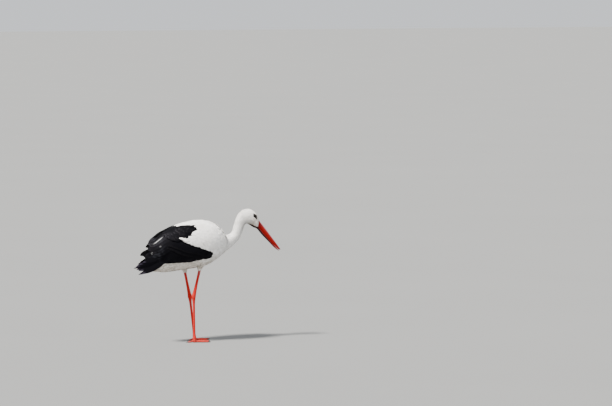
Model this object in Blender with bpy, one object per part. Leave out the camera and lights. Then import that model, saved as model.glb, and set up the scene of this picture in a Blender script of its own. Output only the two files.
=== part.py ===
"""White stork (Ciconia ciconia), adult, life size, standing still with its bill lowered to feed.

Metres, +Z up. The bird faces +X and +Y is its left. It stands on the floor, z = 0, and the origin lies
on the floor under the middle of its box. Lengths in the tables below are millimetres in a working frame
whose x = 0 is between the legs; main() moves every part to the origin at the end.

The body is measured over the feathers. Trunk, neck, head, bill, tail and limbs are lofts: a row of
stations, each with a top point, a bottom point and a half width. The folded wings are thin panels laid
side by side on the outline of the body, and the trunk is recessed under them. Where one piece rests in
another, the outer one is cut by a copy of the inner one made larger by GAP.
"""

from math import cos, pi, radians, sin

import bmesh
import bpy
from mathutils import Vector

MM = 0.001
GAP = 0.4  # air between two pieces that meet
CUTTERS = "cutters"
PARTS = "white_stork"

# ---------------------------------------------------------------- driving dimensions, millimetres
# Outline of the body with its wings folded: x, top, bottom, half width, fullness of the upper half
# (1 is an ellipse, less is squarer, more is a roof).
OUTLINE = [
    (150, 500, 443, 34, 0.92),
    (135, 526, 430, 53, 0.92),
    (110, 556, 414, 72, 0.92),
    (80, 579, 394, 86, 0.92),
    (40, 593, 371, 96, 0.92),
    (0, 597, 361, 100, 0.92),
    (-50, 594, 357, 98, 0.94),
    (-110, 582, 352, 90, 0.98),
    (-170, 561, 352, 76, 1.08),
    (-215, 538, 356, 62, 1.2),
    (-250, 512, 362, 50, 1.3),
    (-272, 485, 364, 43, 1.3),
    (-292, 432, 360, 38, 1.3),
    (-315, 408, 350, 35, 1.3),
    (-350, 386, 335, 32, 1.2),
]

# The trunk, with the wings off behind x = -140: x, top, bottom, half width.
TRUNK = [
    (157, 482, 464, 12),
    (151, 499, 444, 31),
    (135, 526, 430, 53),
    (110, 556, 414, 72),
    (80, 579, 394, 86),
    (40, 593, 371, 96),
    (0, 597, 361, 98),
    (-50, 594, 357, 93),
    (-110, 581, 351, 80),
    (-150, 566, 347, 66),
    (-180, 532, 345, 56),
    (-215, 484, 346, 45),
    (-245, 438, 350, 33),
    (-268, 400, 357, 20),
    (-277, 386, 365, 8),
]

# Neck and head stations: (s, z) of the back or top, (s, z) of the front or bottom, half width.
# s runs along the neck's own plane from NECK_ROOT. The head goes on from the neck's last station.
NECK_ROOT = Vector((120, 0))  # where the plane of neck and head leaves the middle plane of the body
NECK_TURN = radians(-14)  # the bird looks a little to its right
NECK = [
    ((-48, 540), (-30, 425), 46),
    ((-10, 530), (20, 434), 44),
    ((18, 522), (47, 449), 37),
    ((38, 521), (71, 473), 31),
    ((52, 529), (93, 494), 28),
    ((58, 541), (106, 520), 27),
    ((63, 560), (116, 545), 26.5),
    ((72, 585), (123, 566), 27),
]
NECK_PART = 5  # the lower and the upper neck meet at this station
HEAD = [
    ((72, 585), (123, 566), 27),
    ((79, 603), (126, 567), 28),
    ((92, 625), (128, 567), 29.5),
    ((112, 640), (131, 567), 30.5),
    ((139, 645), (139, 568), 30),
    ((160, 638), (153, 563), 27.5),
    ((178, 622), (168, 555), 22.5),
    ((188, 602), (179, 549), 16.5),
    ((193, 586), (184, 547), 12.5),
]
EYE = (169, 609)  # centre of each eye in the head's plane
EYE_SIDE = 20  # its distance from that plane
EYE_RADIUS = 7.8
# The upper bill: (s, z) on the ridge, (s, z) on the cutting edge, half width.
BILL_UPPER = [
    ((176, 588), (170, 566), 7),
    ((190, 588), (183, 559), 11),
    ((201, 576), (189.5, 554), 11.6),
    ((228, 542), (215, 524), 9.4),
    ((257, 503), (246, 489), 7.0),
    ((283, 468), (275, 457.5), 4.5),
    ((297, 448.5), (292.6, 442.4), 2.7),
    ((302.5, 440.6), (301.6, 439.6), 0.8),
]
# The lower jaw: (s, z) on the cutting edge, (s, z) on the keel, half width.
BILL_LOWER = [
    ((134, 573), (133, 571), 6),
    ((150, 569), (148, 562.5), 12),
    ((169, 564.5), (165, 551.5), 13.2),
    ((188.5, 553.2), (183, 543.5), 11.8),
    ((214, 523), (209, 513), 9.2),
    ((244.6, 487.6), (241, 480.5), 6.8),
    ((272.6, 455.4), (270, 450.5), 4.4),
    ((289, 439.6), (287.6, 437.2), 2.6),
    ((295.4, 434.4), (294.8, 433.8), 0.8),
]

# The tail, closed: x, top, bottom, half width.
TAIL = [
    (-150, 424, 404, 24),
    (-200, 409, 390, 33),
    (-250, 395, 381, 38),
    (-290, 384, 372, 42),
    (-318, 375, 368, 41),
    (-330, 371, 366, 33),
]

# x of the rows of facets of the wings, and the seams between the folded feather groups: x and turn in
# degrees from the top of the outline.
WING_ROWS = [79, 73, 58, 36, 10, -18, -44, -72, -100, -125, -148, -172, -195, -222, -245, -262, -276]
WING_ROWS += [-296, -316, -335]
WING_TOP = [
    (79, 78),
    (73, 50),
    (58, 34),
    (40, 30),
    (0, 30),
    (-44, 37),
    (-60, 35),
    (-80, 31),
    (-110, 28),
    (-140, 24),
    (-152, 9),
    (-165, 4),
    (-230, 4),
]
SCAPULAR_LOW = [
    (-44, 40),
    (-60, 47),
    (-77, 53),
    (-97, 60),
    (-125, 66),
    (-148, 67),
    (-172, 62),
    (-195, 46),
    (-222, 8),
]
COVERT_LOW = [
    (79, 90),
    (73, 104),
    (52, 107),
    (36, 108),
    (-20, 102),
    (-47, 96),
    (-104, 82),
    (-130, 72),
    (-148, 67),
]
TERTIAL_LOW = [(-148, 67), (-165, 72), (-184, 82), (-215, 88), (-240, 82), (-258, 66), (-270, 40), (-276, 14)]
WING_LOW = [
    (36, 112),
    (20, 119),
    (-10, 124),
    (-70, 126),
    (-140, 124),
    (-200, 120),
    (-245, 116),
    (-282, 130),
    (-305, 128),
    (-335, 100),
]
WING_DEPTH = 12  # from the outline in to the trunk
RIM_FALL = 1.5  # how far the rim of a feather group lies under its middle
WING_SHIFT = {"left": Vector((26, 0, 58)), "right": Vector()}  # the left hind end is held higher

# The folded primaries: from their root inside the wing to their two tips, with height and thickness.
PRIMARIES = {
    "right": (((-220, 40, 428), (-367, 35, 375), 44, 9), ((-225, 45, 410), (-348, 50, 349), 34, 8)),
    "left": (((-205, 42, 440), (-316, 33, 382), 44, 9), ((-205, 46, 415), (-306, 48, 362), 34, 8)),
}

# Legs: top of the bare shank, heel joint and root of the toes, for each side: x and z.
LEG_SIDE = 43  # each leg's distance from the middle plane
LEGS = {
    "right": ((-13, 368), (-49, 225), (-46, 22)),
    "left": ((-57, 352), (-28, 218), (-4, 22)),
}
THIGH_TOP = {"right": (18, 440), "left": (-10, 430)}
SHANK_SIZE = (6.6, 5.8)  # half sizes fore and aft, and to the side
HEEL_SIZE = (10.5, 8.6)
TARSUS_SIZE = (5.8, 4.9)
TOE_ROOT_SIZE = (7.2, 7.6)
# Toes: turn outwards from straight ahead in degrees, length, radius at the root.
TOES = {"inner": (-28, 62, 5.2), "middle": (1, 77, 5.6), "outer": (30, 68, 5.2), "hind": (187, 34, 4.4)}
HIND_TOE_RISE = 7
CLAW_LENGTH = 11
SOLE = 1.0  # what would hang less than this above the floor is pressed flat on it


# ---------------------------------------------------------------- small helpers
def between(rows, where):
    """The value at a position, 0 to len(rows) - 1, on a smooth curve through rows of numbers."""
    last = len(rows) - 1
    at = min(max(where, 0.0), last)
    i = min(int(at), last - 1)
    t = at - i
    p0, p1, p2, p3 = (rows[min(max(k, 0), last)] for k in (i - 1, i, i + 1, i + 2))
    return [
        b + 0.5 * t * (c - a + t * (2 * a - 5 * b + 4 * c - d + t * (3 * (b - c) + d - a)))
        for a, b, c, d in zip(p0, p1, p2, p3)
    ]


def at_x(rows, x):
    """The rest of a row at x, from rows that start with a falling x."""
    last = len(rows) - 2
    i = next((k for k in range(last) if x >= rows[k + 1][0]), last)
    return between([row[1:] for row in rows], i + (rows[i][0] - x) / (rows[i][0] - rows[i + 1][0]))


def seam_turn(seam, x):
    """The turn of a seam at x, on straight lines between its points."""
    x = min(max(x, seam[-1][0]), seam[0][0])
    i = next(k for k in range(len(seam) - 1) if x >= seam[k + 1][0])
    (x0, turn0), (x1, turn1) = seam[i], seam[i + 1]
    return radians(turn0 + (turn1 - turn0) * (x0 - x) / (x0 - x1))


def signed_power(value, power):
    return abs(value) ** power * (1 if value >= 0 else -1)


def collection(name):
    found = bpy.data.collections.get(name)
    if not found:
        found = bpy.data.collections.new(name)
        bpy.context.scene.collection.children.link(found)
    return found


def add_object(name, mesh, material=None):
    """A part for the model, or a hidden cutter where no material is given."""
    obj = bpy.data.objects.new(name, mesh)
    collection(PARTS if material else CUTTERS).objects.link(obj)
    if material:
        mesh.materials.append(material)
        mesh.shade_smooth()
        mesh.set_sharp_from_angle(angle=radians(50))
    else:
        obj.hide_render = True
        obj.display_type = "WIRE"
    return obj


def principled(name, colour, roughness):
    made = bpy.data.materials.new(name)
    made.use_nodes = True
    shader = made.node_tree.nodes["Principled BSDF"]
    shader.inputs["Base Color"].default_value = (*colour, 1)
    shader.inputs["Roughness"].default_value = roughness
    made.diffuse_color = (*colour, 1)
    return made


def add_quad(bm, a, b, c, d):
    """A four-sided facet as two triangles, cut the same way in a part and in the cutter made from it."""
    bm.faces.new((a, b, c))
    bm.faces.new((a, c, d))


def finished(bm, name):
    bmesh.ops.recalc_face_normals(bm, faces=bm.faces)
    mesh = bpy.data.meshes.new(name)
    bm.to_mesh(mesh)
    bm.free()
    return mesh


def tube_mesh(name, rings):
    """A closed mesh through rings of points, all with the same count, closed to a point at each end."""
    bm = bmesh.new()
    rows = [[bm.verts.new(Vector(p) * MM) for p in ring] for ring in rings]
    count = len(rows[0])
    for a, b in zip(rows, rows[1:]):
        for k in range(count):
            add_quad(bm, a[k], a[(k + 1) % count], b[(k + 1) % count], b[k])
    caps = [bm.faces.new(rows[0][::-1]), bm.faces.new(rows[-1])]
    bmesh.ops.poke(bm, faces=caps)
    return finished(bm, name)


def boolean(obj, other, operation):
    """Applies a Boolean with another object and removes that object."""
    modifier = obj.modifiers.new(operation.lower(), "BOOLEAN")
    modifier.operation = operation
    modifier.solver = "EXACT"
    modifier.object = other
    graph = bpy.context.evaluated_depsgraph_get()
    mesh = bpy.data.meshes.new_from_object(obj.evaluated_get(graph))
    obj.modifiers.clear()
    obj.data = mesh
    bpy.data.objects.remove(other)


def cut(obj, mesh):
    boolean(obj, add_object(obj.name + "_cutter", mesh), "DIFFERENCE")


# ---------------------------------------------------------------- lofts of neck, trunk and bill
def section(top, bottom, half_width, count, square, grow):
    """Points (s, side, z) of a rounded section; square < 1 fills its corners, grow makes it larger."""
    centre = (top + bottom) / 2
    up = (top - bottom) / 2
    up += up.normalized() * grow
    points = []
    for k in range(count):
        turn = 2 * pi * k / count
        along = centre + up * signed_power(cos(turn), square)
        points.append((along.x, signed_power(sin(turn), square) * (half_width + grow), along.y))
    return points


def in_body(point):
    return Vector(point)


def in_neck(point):
    """From (s, side, z) in the plane of neck and head to x, y, z."""
    s, side, z = point
    ahead = NECK_ROOT.x + s * cos(NECK_TURN) - side * sin(NECK_TURN)
    across = NECK_ROOT.y + s * sin(NECK_TURN) + side * cos(NECK_TURN)
    return Vector((ahead, across, z))


def lengthened(rings, by):
    """Rings with the first and the last one moved outwards along the tube."""
    if not by:
        return rings
    middles = [sum(ring, Vector()) / len(ring) for ring in rings]
    first = (middles[0] - middles[1]).normalized() * by
    last = (middles[-1] - middles[-2]).normalized() * by
    return [[p + first for p in rings[0]], *rings[1:-1], [p + last for p in rings[-1]]]


def loft(stations, rings, count, plane, square, grow=0.0):
    """Rings through stations of (top (s, z), bottom (s, z), half width)."""
    rows = [(*top, *bottom, width) for top, bottom, width in stations]
    made = []
    for i in range(rings):
        row = between(rows, i * (len(rows) - 1) / (rings - 1))
        ring = section(Vector(row[0:2]), Vector(row[2:4]), row[4], count, square, grow)
        made.append([plane(p) for p in ring])
    return lengthened(made, grow)


def upright(rows):
    """Stations of upright sections from rows of x, top, bottom, half width."""
    return [((x, top), (x, bottom), width) for x, top, bottom, width in rows]


def parted(rings, index):
    """The rings before and after a thin cut at one of them."""
    middles = [sum(ring, Vector()) / len(ring) for ring in rings[index : index + 2]]
    step = (middles[1] - middles[0]).normalized() * GAP
    return rings[: index + 1], [[p + step for p in rings[index]], *rings[index + 1 :]]


# ---------------------------------------------------------------- feather panels on the outline
def on_outline(x, turn, side, lift, shift):
    """The point of the outline at x and at a turn from its top, 0 to pi, lifted outwards."""
    top, bottom, width, fullness = at_x(OUTLINE, x)
    power = fullness if turn < pi / 2 else 0.9
    y = (width + lift) * signed_power(sin(turn), power)
    z = (top + bottom) / 2 + ((top - bottom) / 2 + lift) * signed_power(cos(turn), power)
    return Vector((x, side * y, z)) + shift * min(max((-x - 190) / 130, 0), 1) ** 2


def panel(name, side, span, seams, lift, shift, columns, grow=0.0, free=False, depth=WING_DEPTH):
    """A thin closed panel on the outline between an upper and a lower seam, from one x back to another.

    Its outer face is lift above the outline and falls a little at the rim, and its inner face is depth
    below the outline. free thins its lower and hind edges, which hang in the air. Neighbours share the x
    of their facets, so their seams run together.
    """
    start, end = span
    rows = [start + grow] + [x for x in WING_ROWS if end < x < start] + [end - grow]
    outer, inner = [], []
    for i, x in enumerate(rows):
        clear = (0.5 * GAP - grow) / max(at_x(OUTLINE, x)[2], 20)
        high, low = (seam_turn(seam, x) for seam in seams)
        high, low = high + clear, low - clear
        for j in range(columns + 1):
            t = j / columns
            fall = RIM_FALL if i in (0, len(rows) - 1) or j in (0, columns) else 0
            thin = max((t - 0.6) / 0.4, (i / (len(rows) - 1) - 0.7) / 0.3, 0) if free else 0
            turn = high + (low - high) * t
            outer.append(on_outline(x, turn, side, lift - fall + grow, shift))
            inner.append(on_outline(x, turn, side, -(depth - 9 * thin) - grow, shift))
    return grid_mesh(name, outer, inner, len(rows), columns + 1)


def grid_mesh(name, outer, inner, rows, columns):
    """A closed mesh between two grids of points."""
    bm = bmesh.new()
    sheets = [[bm.verts.new(p * MM) for p in points] for points in (outer, inner)]
    for sheet in sheets:
        for i in range(rows - 1):
            for j in range(columns - 1):
                k = i * columns + j
                add_quad(bm, sheet[k], sheet[k + 1], sheet[k + columns + 1], sheet[k + columns])
    rim = list(range(columns))
    rim += [i * columns + columns - 1 for i in range(1, rows)]
    rim += [(rows - 1) * columns + j for j in range(columns - 2, -1, -1)]
    rim += [i * columns for i in range(rows - 2, 0, -1)]
    for a, b in zip(rim, rim[1:] + rim[:1]):
        add_quad(bm, sheets[0][a], sheets[0][b], sheets[1][b], sheets[1][a])
    return finished(bm, name)


def primary_mesh(name, side, row, grow=0.0):
    """A long pointed bundle of feathers, on edge, from its root to its tip."""
    root, tip, height, thick = row
    steps = 5
    rings = []
    for i in range(steps + 1):
        t = i / steps
        centre = Vector(root).lerp(Vector(tip), t) - Vector((0, 0, 5 * sin(pi * t)))
        half = max(height / 2 * (1 - t**2.5), 1.5) + grow
        flat = max(thick / 2 * (1 - t**2), 0.8) + grow
        ring = []
        for k in range(8):
            turn = 2 * pi * k / 8
            across = centre.y + flat * sin(turn) - 0.3 * half * cos(turn)
            ring.append(Vector((centre.x, side * across, centre.z + half * cos(turn))))
        rings.append(ring)
    return tube_mesh(name, lengthened(rings, grow))


# ---------------------------------------------------------------- limbs
def limb(rows, per_row, count, across, front=None, on_floor=False, grow=0.0):
    """Rings of a limb, square to its run unless front is given. on_floor flattens its underside.

    Rows are x, y, z, half size along front (fore and aft, or up and down) and half size along across.
    """
    made = []
    total = (len(rows) - 1) * per_row
    for i in range(total + 1):
        at = i / per_row
        x, y, z, fore, wide = between(rows, at)
        ahead = Vector(between(rows, at + 0.05)[:3]) - Vector(between(rows, at - 0.05)[:3])
        up = front or across.cross(ahead).normalized()
        ring = []
        for k in range(count):
            turn = 2 * pi * k / count
            point = Vector((x, y, z)) + up * (fore + grow) * cos(turn) + across * (wide + grow) * sin(turn)
            if on_floor and point.z < SOLE:
                point.z = 0.0
            ring.append(point)
        made.append(ring)
    return lengthened(made, grow)


SIDEWAYS = Vector((0, 1, 0))
UPWARDS = Vector((0, 0, 1))


def shank_and_tarsus(side, word, grow=0.0):
    """Rings of the bare shank and, past a thin cut in the heel joint, of the tarsus."""
    y = side * LEG_SIDE
    (tx, tz), (hx, hz), (fx, fz) = LEGS[word]
    rows = [(tx + 0.3 * (tx - hx), y, tz + 40, *SHANK_SIZE)]
    for t, size in ((0, 1), (0.5, 0.95), (0.85, 1.25)):
        rows.append((tx + (hx - tx) * t, y, tz + (hz - tz) * t, SHANK_SIZE[0] * size, SHANK_SIZE[1] * size))
    rows.append((hx, y, hz, *HEEL_SIZE))
    heel = len(rows) - 1
    for t, size in ((0.08, 1.35), (0.2, 1.0), (0.6, 0.93), (0.88, 1.0)):
        rows.append((hx + (fx - hx) * t, y, hz + (fz - hz) * t, TARSUS_SIZE[0] * size, TARSUS_SIZE[1] * size))
    rows.append((fx, y, fz, *TOE_ROOT_SIZE))
    per_row = 2
    return parted(limb(rows, per_row, 10, SIDEWAYS, grow=grow), heel * per_row)


def thigh_mesh(side, word, grow=0.0):
    y = side * LEG_SIDE
    (ux, uz), (tx, tz) = THIGH_TOP[word], LEGS[word][0]
    rows = [
        (ux + 12, y * 0.9, uz + 20, 24, 14),
        (ux, y, uz, 40, 26),
        ((ux + tx) / 2, y * 1.06, (uz + tz) / 2, 33, 26),
        (tx + 3, y * 1.02, tz + 14, 19, 17),
        (tx, y, tz - 4, 9.5, 9),
    ]
    return tube_mesh("thigh", limb(rows, 2, 12, SIDEWAYS, grow=grow))


def make_foot(side, word, red, dark):
    (x, z), y = LEGS[word][2], side * LEG_SIDE
    rows = [
        (x, y, z + 2, *TOE_ROOT_SIZE),
        (x + 1, y, z * 0.55, 8.5, 9),
        (x + 2, y, 4, 9.5, 10.5),
        (x + 2.5, y, 0.4, 8.5, 9.5),
    ]
    foot = add_object("foot_" + word, tube_mesh("foot", limb(rows, 1, 12, SIDEWAYS, on_floor=True)), red)
    for toe, (degrees, length, radius) in TOES.items():
        turn = side * radians(degrees)
        ahead = Vector((cos(turn), sin(turn), 0))
        across = Vector((-ahead.y, ahead.x, 0))
        hind = toe == "hind"
        steps = 4
        rows = []
        for k in range(steps + 1):
            t = k / steps
            thick = radius * (1 - 0.36 * t) * (1.07 if k % 2 == 0 else 0.9)
            height = 0.84 * thick + (HIND_TOE_RISE * max(0, 1 - 1.6 * t) if hind else 3 * max(0, 0.3 - t))
            rows.append((x + 1 + ahead.x * length * t, y + ahead.y * length * t, height, thick, thick * 1.08))
        made = add_object("toe", tube_mesh("toe", limb(rows, 1, 8, across, UPWARDS, on_floor=True)), red)
        boolean(foot, made, "UNION")
        claw = claw_mesh(Vector((x + 1, y, 0)), ahead, across, length + GAP, radius * 0.6)
        add_object(f"claw_{toe}_{word}", claw, dark)
    return foot


def claw_mesh(root, ahead, across, start, radius):
    rows = []
    for t in (0, 0.35, 0.7, 1):
        point = root + ahead * (start + CLAW_LENGTH * t)
        thick = max(radius * (1 - t) ** 0.7, 0.6)
        rows.append((point.x, point.y, max(radius * (1.25 - 0.9 * t), 0.7), thick, thick))
    return tube_mesh("claw", limb(rows, 1, 6, across, UPWARDS, on_floor=True))


# ---------------------------------------------------------------- the parts
def make_neck_and_head(white):
    """The lower neck, upper neck and head, parted by thin cuts."""
    lower, upper = parted(loft(NECK, 2 * len(NECK) - 1, 13, in_neck, 0.97), NECK_PART * 2)
    _, head = parted(loft(HEAD, 2 * len(HEAD) - 1, 13, in_neck, 0.97), 0)
    names = {"neck_lower": lower, "neck_upper": upper, "head": head}
    return [add_object(name, tube_mesh(name, rings), white) for name, rings in names.items()]


def eye_mesh(side, grow=0.0):
    bm = bmesh.new()
    bmesh.ops.create_uvsphere(bm, u_segments=10, v_segments=6, radius=(EYE_RADIUS + grow) * MM)
    centre = in_neck((EYE[0], side * EYE_SIDE, EYE[1])) * MM
    bmesh.ops.translate(bm, verts=bm.verts, vec=centre)
    return finished(bm, "eye")


def make_head_parts(head, red, dark):
    upper = loft(BILL_UPPER, 12, 10, in_neck, 0.9)
    lower = loft(BILL_LOWER, 12, 10, in_neck, 0.9)
    add_object("bill_upper", tube_mesh("bill_upper", upper), red)
    lower = add_object("bill_lower", tube_mesh("bill_lower", lower), red)
    cut(lower, tube_mesh("upper", loft(BILL_UPPER, 12, 10, in_neck, 0.9, GAP)))
    for rows in (BILL_UPPER, BILL_LOWER):
        cut(head, tube_mesh("bill", loft(rows, 12, 10, in_neck, 0.9, GAP)))
    for side, word in ((1, "left"), (-1, "right")):
        add_object("eye_" + word, eye_mesh(side), dark)
        cut(head, eye_mesh(side, GAP))


def make_wing(side, word, white, black):
    """Feather groups of a folded wing. Returns what cuts their neighbours clear of them."""
    shift = WING_SHIFT[word]
    covert_top = [row for row in WING_TOP if row[0] > -44] + SCAPULAR_LOW
    tertial_top = SCAPULAR_LOW + [(-276, 6)]
    secondary_top = COVERT_LOW + TERTIAL_LOW[1:] + [(-296, 7), (-335, 40)]
    groups = {
        "wing_coverts_": ((79, -140), (covert_top, COVERT_LOW), 0, 4, white, False),
        "scapulars_": ((-44, -222), (WING_TOP, SCAPULAR_LOW), 3, 4, black, False),
        "tertials_": ((-157, -276), (tertial_top, TERTIAL_LOW), 1, 4, black, False),
        "secondaries_": ((36, -335), (secondary_top, WING_LOW), -1, 4, black, True),
    }
    cutters = []
    for name, (span, seams, lift, columns, material, free) in groups.items():
        args = (name + word, side, span, seams, lift, shift, columns)
        made = add_object(name + word, panel(*args, free=free), material)
        cut_all(made, cutters)
        cutters.append(panel(*args, grow=GAP, free=free))
    parts = [primary_mesh("primaries", side, row) for row in PRIMARIES[word]]
    primaries = add_object("primaries_" + word, parts[0], black)
    boolean(primaries, add_object("lower", parts[1]), "UNION")
    cut_all(primaries, cutters[2:])
    return cutters[2:]


def cut_all(obj, cutters):
    for cutter in cutters:
        cut(obj, cutter.copy())
    keep_largest_piece(obj)


def keep_largest_piece(obj):
    """Drops the bits that a cut has severed."""
    bm = bmesh.new()
    bm.from_mesh(obj.data)
    left, pieces = set(bm.verts), []
    while left:
        piece, edge = set(), [left.pop()]
        while edge:
            vert = edge.pop()
            piece.add(vert)
            new = {e.other_vert(vert) for e in vert.link_edges} & left
            left -= new
            edge.extend(new)
        pieces.append(piece)
    keep = max(pieces, key=len)
    bmesh.ops.delete(bm, geom=[v for v in bm.verts if v not in keep], context="VERTS")
    bm.to_mesh(obj.data)
    bm.free()


def recess_mesh(side, shift):
    """What a folded wing takes out of the trunk."""
    top = [row for row in WING_TOP if row[0] > -166] + [(-172, -2), (-300, -2)]
    low = [(x, turn + 1.5) for x, turn in [*COVERT_LOW[:2], *WING_LOW]]
    return panel("recess", side, (79, -300), (top, low), 30, shift, 5, grow=GAP, depth=WING_DEPTH + 1.3)


def centre_on_origin():
    """Moves every part so that the middle of the box lies over the origin."""
    meshes = [obj.data for obj in collection(PARTS).objects]
    points = [v.co for mesh in meshes for v in mesh.vertices]
    for axis in (0, 1):
        middle = (min(p[axis] for p in points) + max(p[axis] for p in points)) / 2
        for point in points:
            point[axis] -= middle


def main():
    for obj in list(bpy.data.objects):
        bpy.data.objects.remove(obj)
    white = principled("white_feathers", (0.86, 0.84, 0.80), 0.85)
    black = principled("black_feathers", (0.015, 0.016, 0.02), 0.45)
    red = principled("bill_and_leg_red", (0.62, 0.03, 0.02), 0.35)
    dark = principled("eye_and_claw_dark", (0.01, 0.008, 0.006), 0.2)

    trunk = add_object("trunk", tube_mesh("trunk", loft(upright(TRUNK), 16, 18, in_body, 0.92)), white)
    tail = add_object("tail", tube_mesh("tail", loft(upright(TAIL), 6, 10, in_body, 0.7)), white)
    head = make_neck_and_head(white)[2]
    make_head_parts(head, red, dark)
    cut(trunk, tube_mesh("neck", loft(NECK, 2 * len(NECK) - 1, 13, in_neck, 0.97, GAP)))
    cut(trunk, tube_mesh("tail", loft(upright(TAIL), 6, 10, in_body, 0.7, GAP)))
    for side, word in ((1, "left"), (-1, "right")):
        cut(trunk, recess_mesh(side, WING_SHIFT[word]))
        for cutter in make_wing(side, word, white, black):
            cut(tail, cutter)
        for row in PRIMARIES[word]:
            cut(tail, primary_mesh("primary", side, row, GAP))
            cut(trunk, primary_mesh("primary", side, row, GAP))
        shank, tarsus = shank_and_tarsus(side, word)
        wide_shank, wide_tarsus = shank_and_tarsus(side, word, GAP)
        add_object("shank_" + word, tube_mesh("shank", shank), red)
        add_object("tarsus_" + word, tube_mesh("tarsus", tarsus), red)
        thigh = add_object("thigh_" + word, thigh_mesh(side, word), white)
        cut(thigh, tube_mesh("shank", wide_shank))
        cut(trunk, tube_mesh("shank", wide_shank))
        cut(trunk, thigh_mesh(side, word, GAP))
        cut(make_foot(side, word, red, dark), tube_mesh("tarsus", wide_tarsus))
    centre_on_origin()


main()
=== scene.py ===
"""White stork: skin, plumage, bill, eyes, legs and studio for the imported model.

Lengths in the tables are millimetres in the working frame of part.py, whose x = 0 lies between the
legs. row() takes them to the row frame in metres. The plumage is built from thin closed vanes: body
feathers march over the skin along the lie of the coat, wing feathers lie in rows on the body's outline.
"""

from math import cos, pi, radians, sin

import bmesh
import bpy
import numpy as np
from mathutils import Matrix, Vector
from mathutils.bvhtree import BVHTree


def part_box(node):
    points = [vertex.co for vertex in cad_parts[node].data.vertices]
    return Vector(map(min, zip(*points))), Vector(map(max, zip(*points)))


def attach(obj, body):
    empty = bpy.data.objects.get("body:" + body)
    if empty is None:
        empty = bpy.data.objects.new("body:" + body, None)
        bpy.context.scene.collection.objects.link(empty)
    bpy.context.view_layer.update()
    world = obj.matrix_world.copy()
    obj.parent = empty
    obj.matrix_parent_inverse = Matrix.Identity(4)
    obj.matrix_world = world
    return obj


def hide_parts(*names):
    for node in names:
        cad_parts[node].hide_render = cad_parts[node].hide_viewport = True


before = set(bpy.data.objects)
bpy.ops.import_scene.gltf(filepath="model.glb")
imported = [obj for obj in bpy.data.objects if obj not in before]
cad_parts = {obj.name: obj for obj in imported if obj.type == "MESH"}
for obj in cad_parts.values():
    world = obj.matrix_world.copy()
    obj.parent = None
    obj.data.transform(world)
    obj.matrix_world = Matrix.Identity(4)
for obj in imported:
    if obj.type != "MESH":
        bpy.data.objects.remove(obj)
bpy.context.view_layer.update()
rng = np.random.default_rng(11)
BODY = "root"

# ---------------------------------------------------------------- sizes shared with part.py, millimetres
# x, top, bottom, half width and fullness of the upper half of the body's outline.
OUTLINE = [
    (150, 500, 443, 34, 0.92),
    (135, 526, 430, 53, 0.92),
    (110, 556, 414, 72, 0.92),
    (80, 579, 394, 86, 0.92),
    (40, 593, 371, 96, 0.92),
    (0, 597, 361, 100, 0.92),
    (-50, 594, 357, 98, 0.94),
    (-110, 582, 352, 90, 0.98),
    (-170, 561, 352, 76, 1.08),
    (-215, 538, 356, 62, 1.2),
    (-250, 512, 362, 50, 1.3),
    (-272, 496, 362, 44, 1.25),  # from here on the line of the feathers, straighter than the solid's
    (-292, 484, 358, 40, 1.2),
    (-315, 467, 350, 36, 1.15),
    (-350, 440, 335, 32, 1.1),
]
LOWER_FULL = 0.9  # fullness of its lower half
NECK_ROOT = (120, 0)
NECK_TURN = radians(-14)
EYE = (169, 20, 609)
EYE_RADIUS = 7.8
# Sections of the jaws: upper and lower point as (s, z) in the plane of neck and head, and half width.
BILL_UPPER = [
    ((176, 588), (170, 566), 7),
    ((190, 588), (183, 559), 11),
    ((201, 576), (189.5, 554), 11.6),
    ((228, 542), (215, 524), 9.4),
    ((257, 503), (246, 489), 7.0),
    ((283, 468), (275, 457.5), 4.5),
    ((297, 448.5), (292.6, 442.4), 2.7),
    ((302.5, 440.6), (301.6, 439.6), 0.8),
]
BILL_LOWER = [
    ((134, 573), (133, 571), 6),
    ((150, 569), (148, 562.5), 12),
    ((169, 564.5), (165, 551.5), 13.2),
    ((188.5, 553.2), (183, 543.5), 11.8),
    ((214, 523), (209, 513), 9.2),
    ((244.6, 487.6), (241, 480.5), 6.8),
    ((272.6, 455.4), (270, 450.5), 4.4),
    ((289, 439.6), (287.6, 437.2), 2.6),
    ((295.4, 434.4), (294.8, 433.8), 0.8),
]
# Seams between the feather groups as the photo shows them: x and turn in degrees from the outline's top.
WING_TOP = [
    (79, 78), (73, 50), (58, 34), (40, 30), (0, 30), (-42, 41), (-57, 36), (-71, 32), (-92, 28), (-122, 27),
    (-130, 14), (-134, -2),
]
SCAPULAR_LOW = [
    (-42, 42), (-55, 49), (-67, 55), (-84, 61), (-100, 65), (-121, 64), (-139, 61), (-172, 60), (-195, 46),
    (-222, 8),
]
COVERT_LOW = [
    (79, 90), (73, 104), (52, 109), (36, 109), (31, 107), (14, 102), (-11, 97), (-47, 91), (-75, 86),
    (-102, 78), (-123, 70), (-139, 61),
]
WING_LOW = [
    (79, 92), (52, 108), (37, 112), (35, 118), (28, 120), (15, 125), (-1, 127), (-39, 126), (-86, 122),
    (-132, 120), (-200, 121), (-240, 130), (-282, 134), (-305, 128), (-335, 100),
]
WING_FRONT = 79  # x of the wing's front edge
BLACK_FRONT = 35  # x of the blunt front end of the black
SCAPULAR_FRONT = -42
BACK_END = -134  # behind it the black feathers of both wings meet over the back
HULL = 0.72  # share of the outline's radius within which points lie under the wings, not on them
WING_SHIFT = {1: np.array([0.0, 0, 10]), -1: np.zeros(3)}
RISE_FROM, RISE_RUN = -190, 130  # x where the far wing starts to lie higher, and over what run
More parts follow.
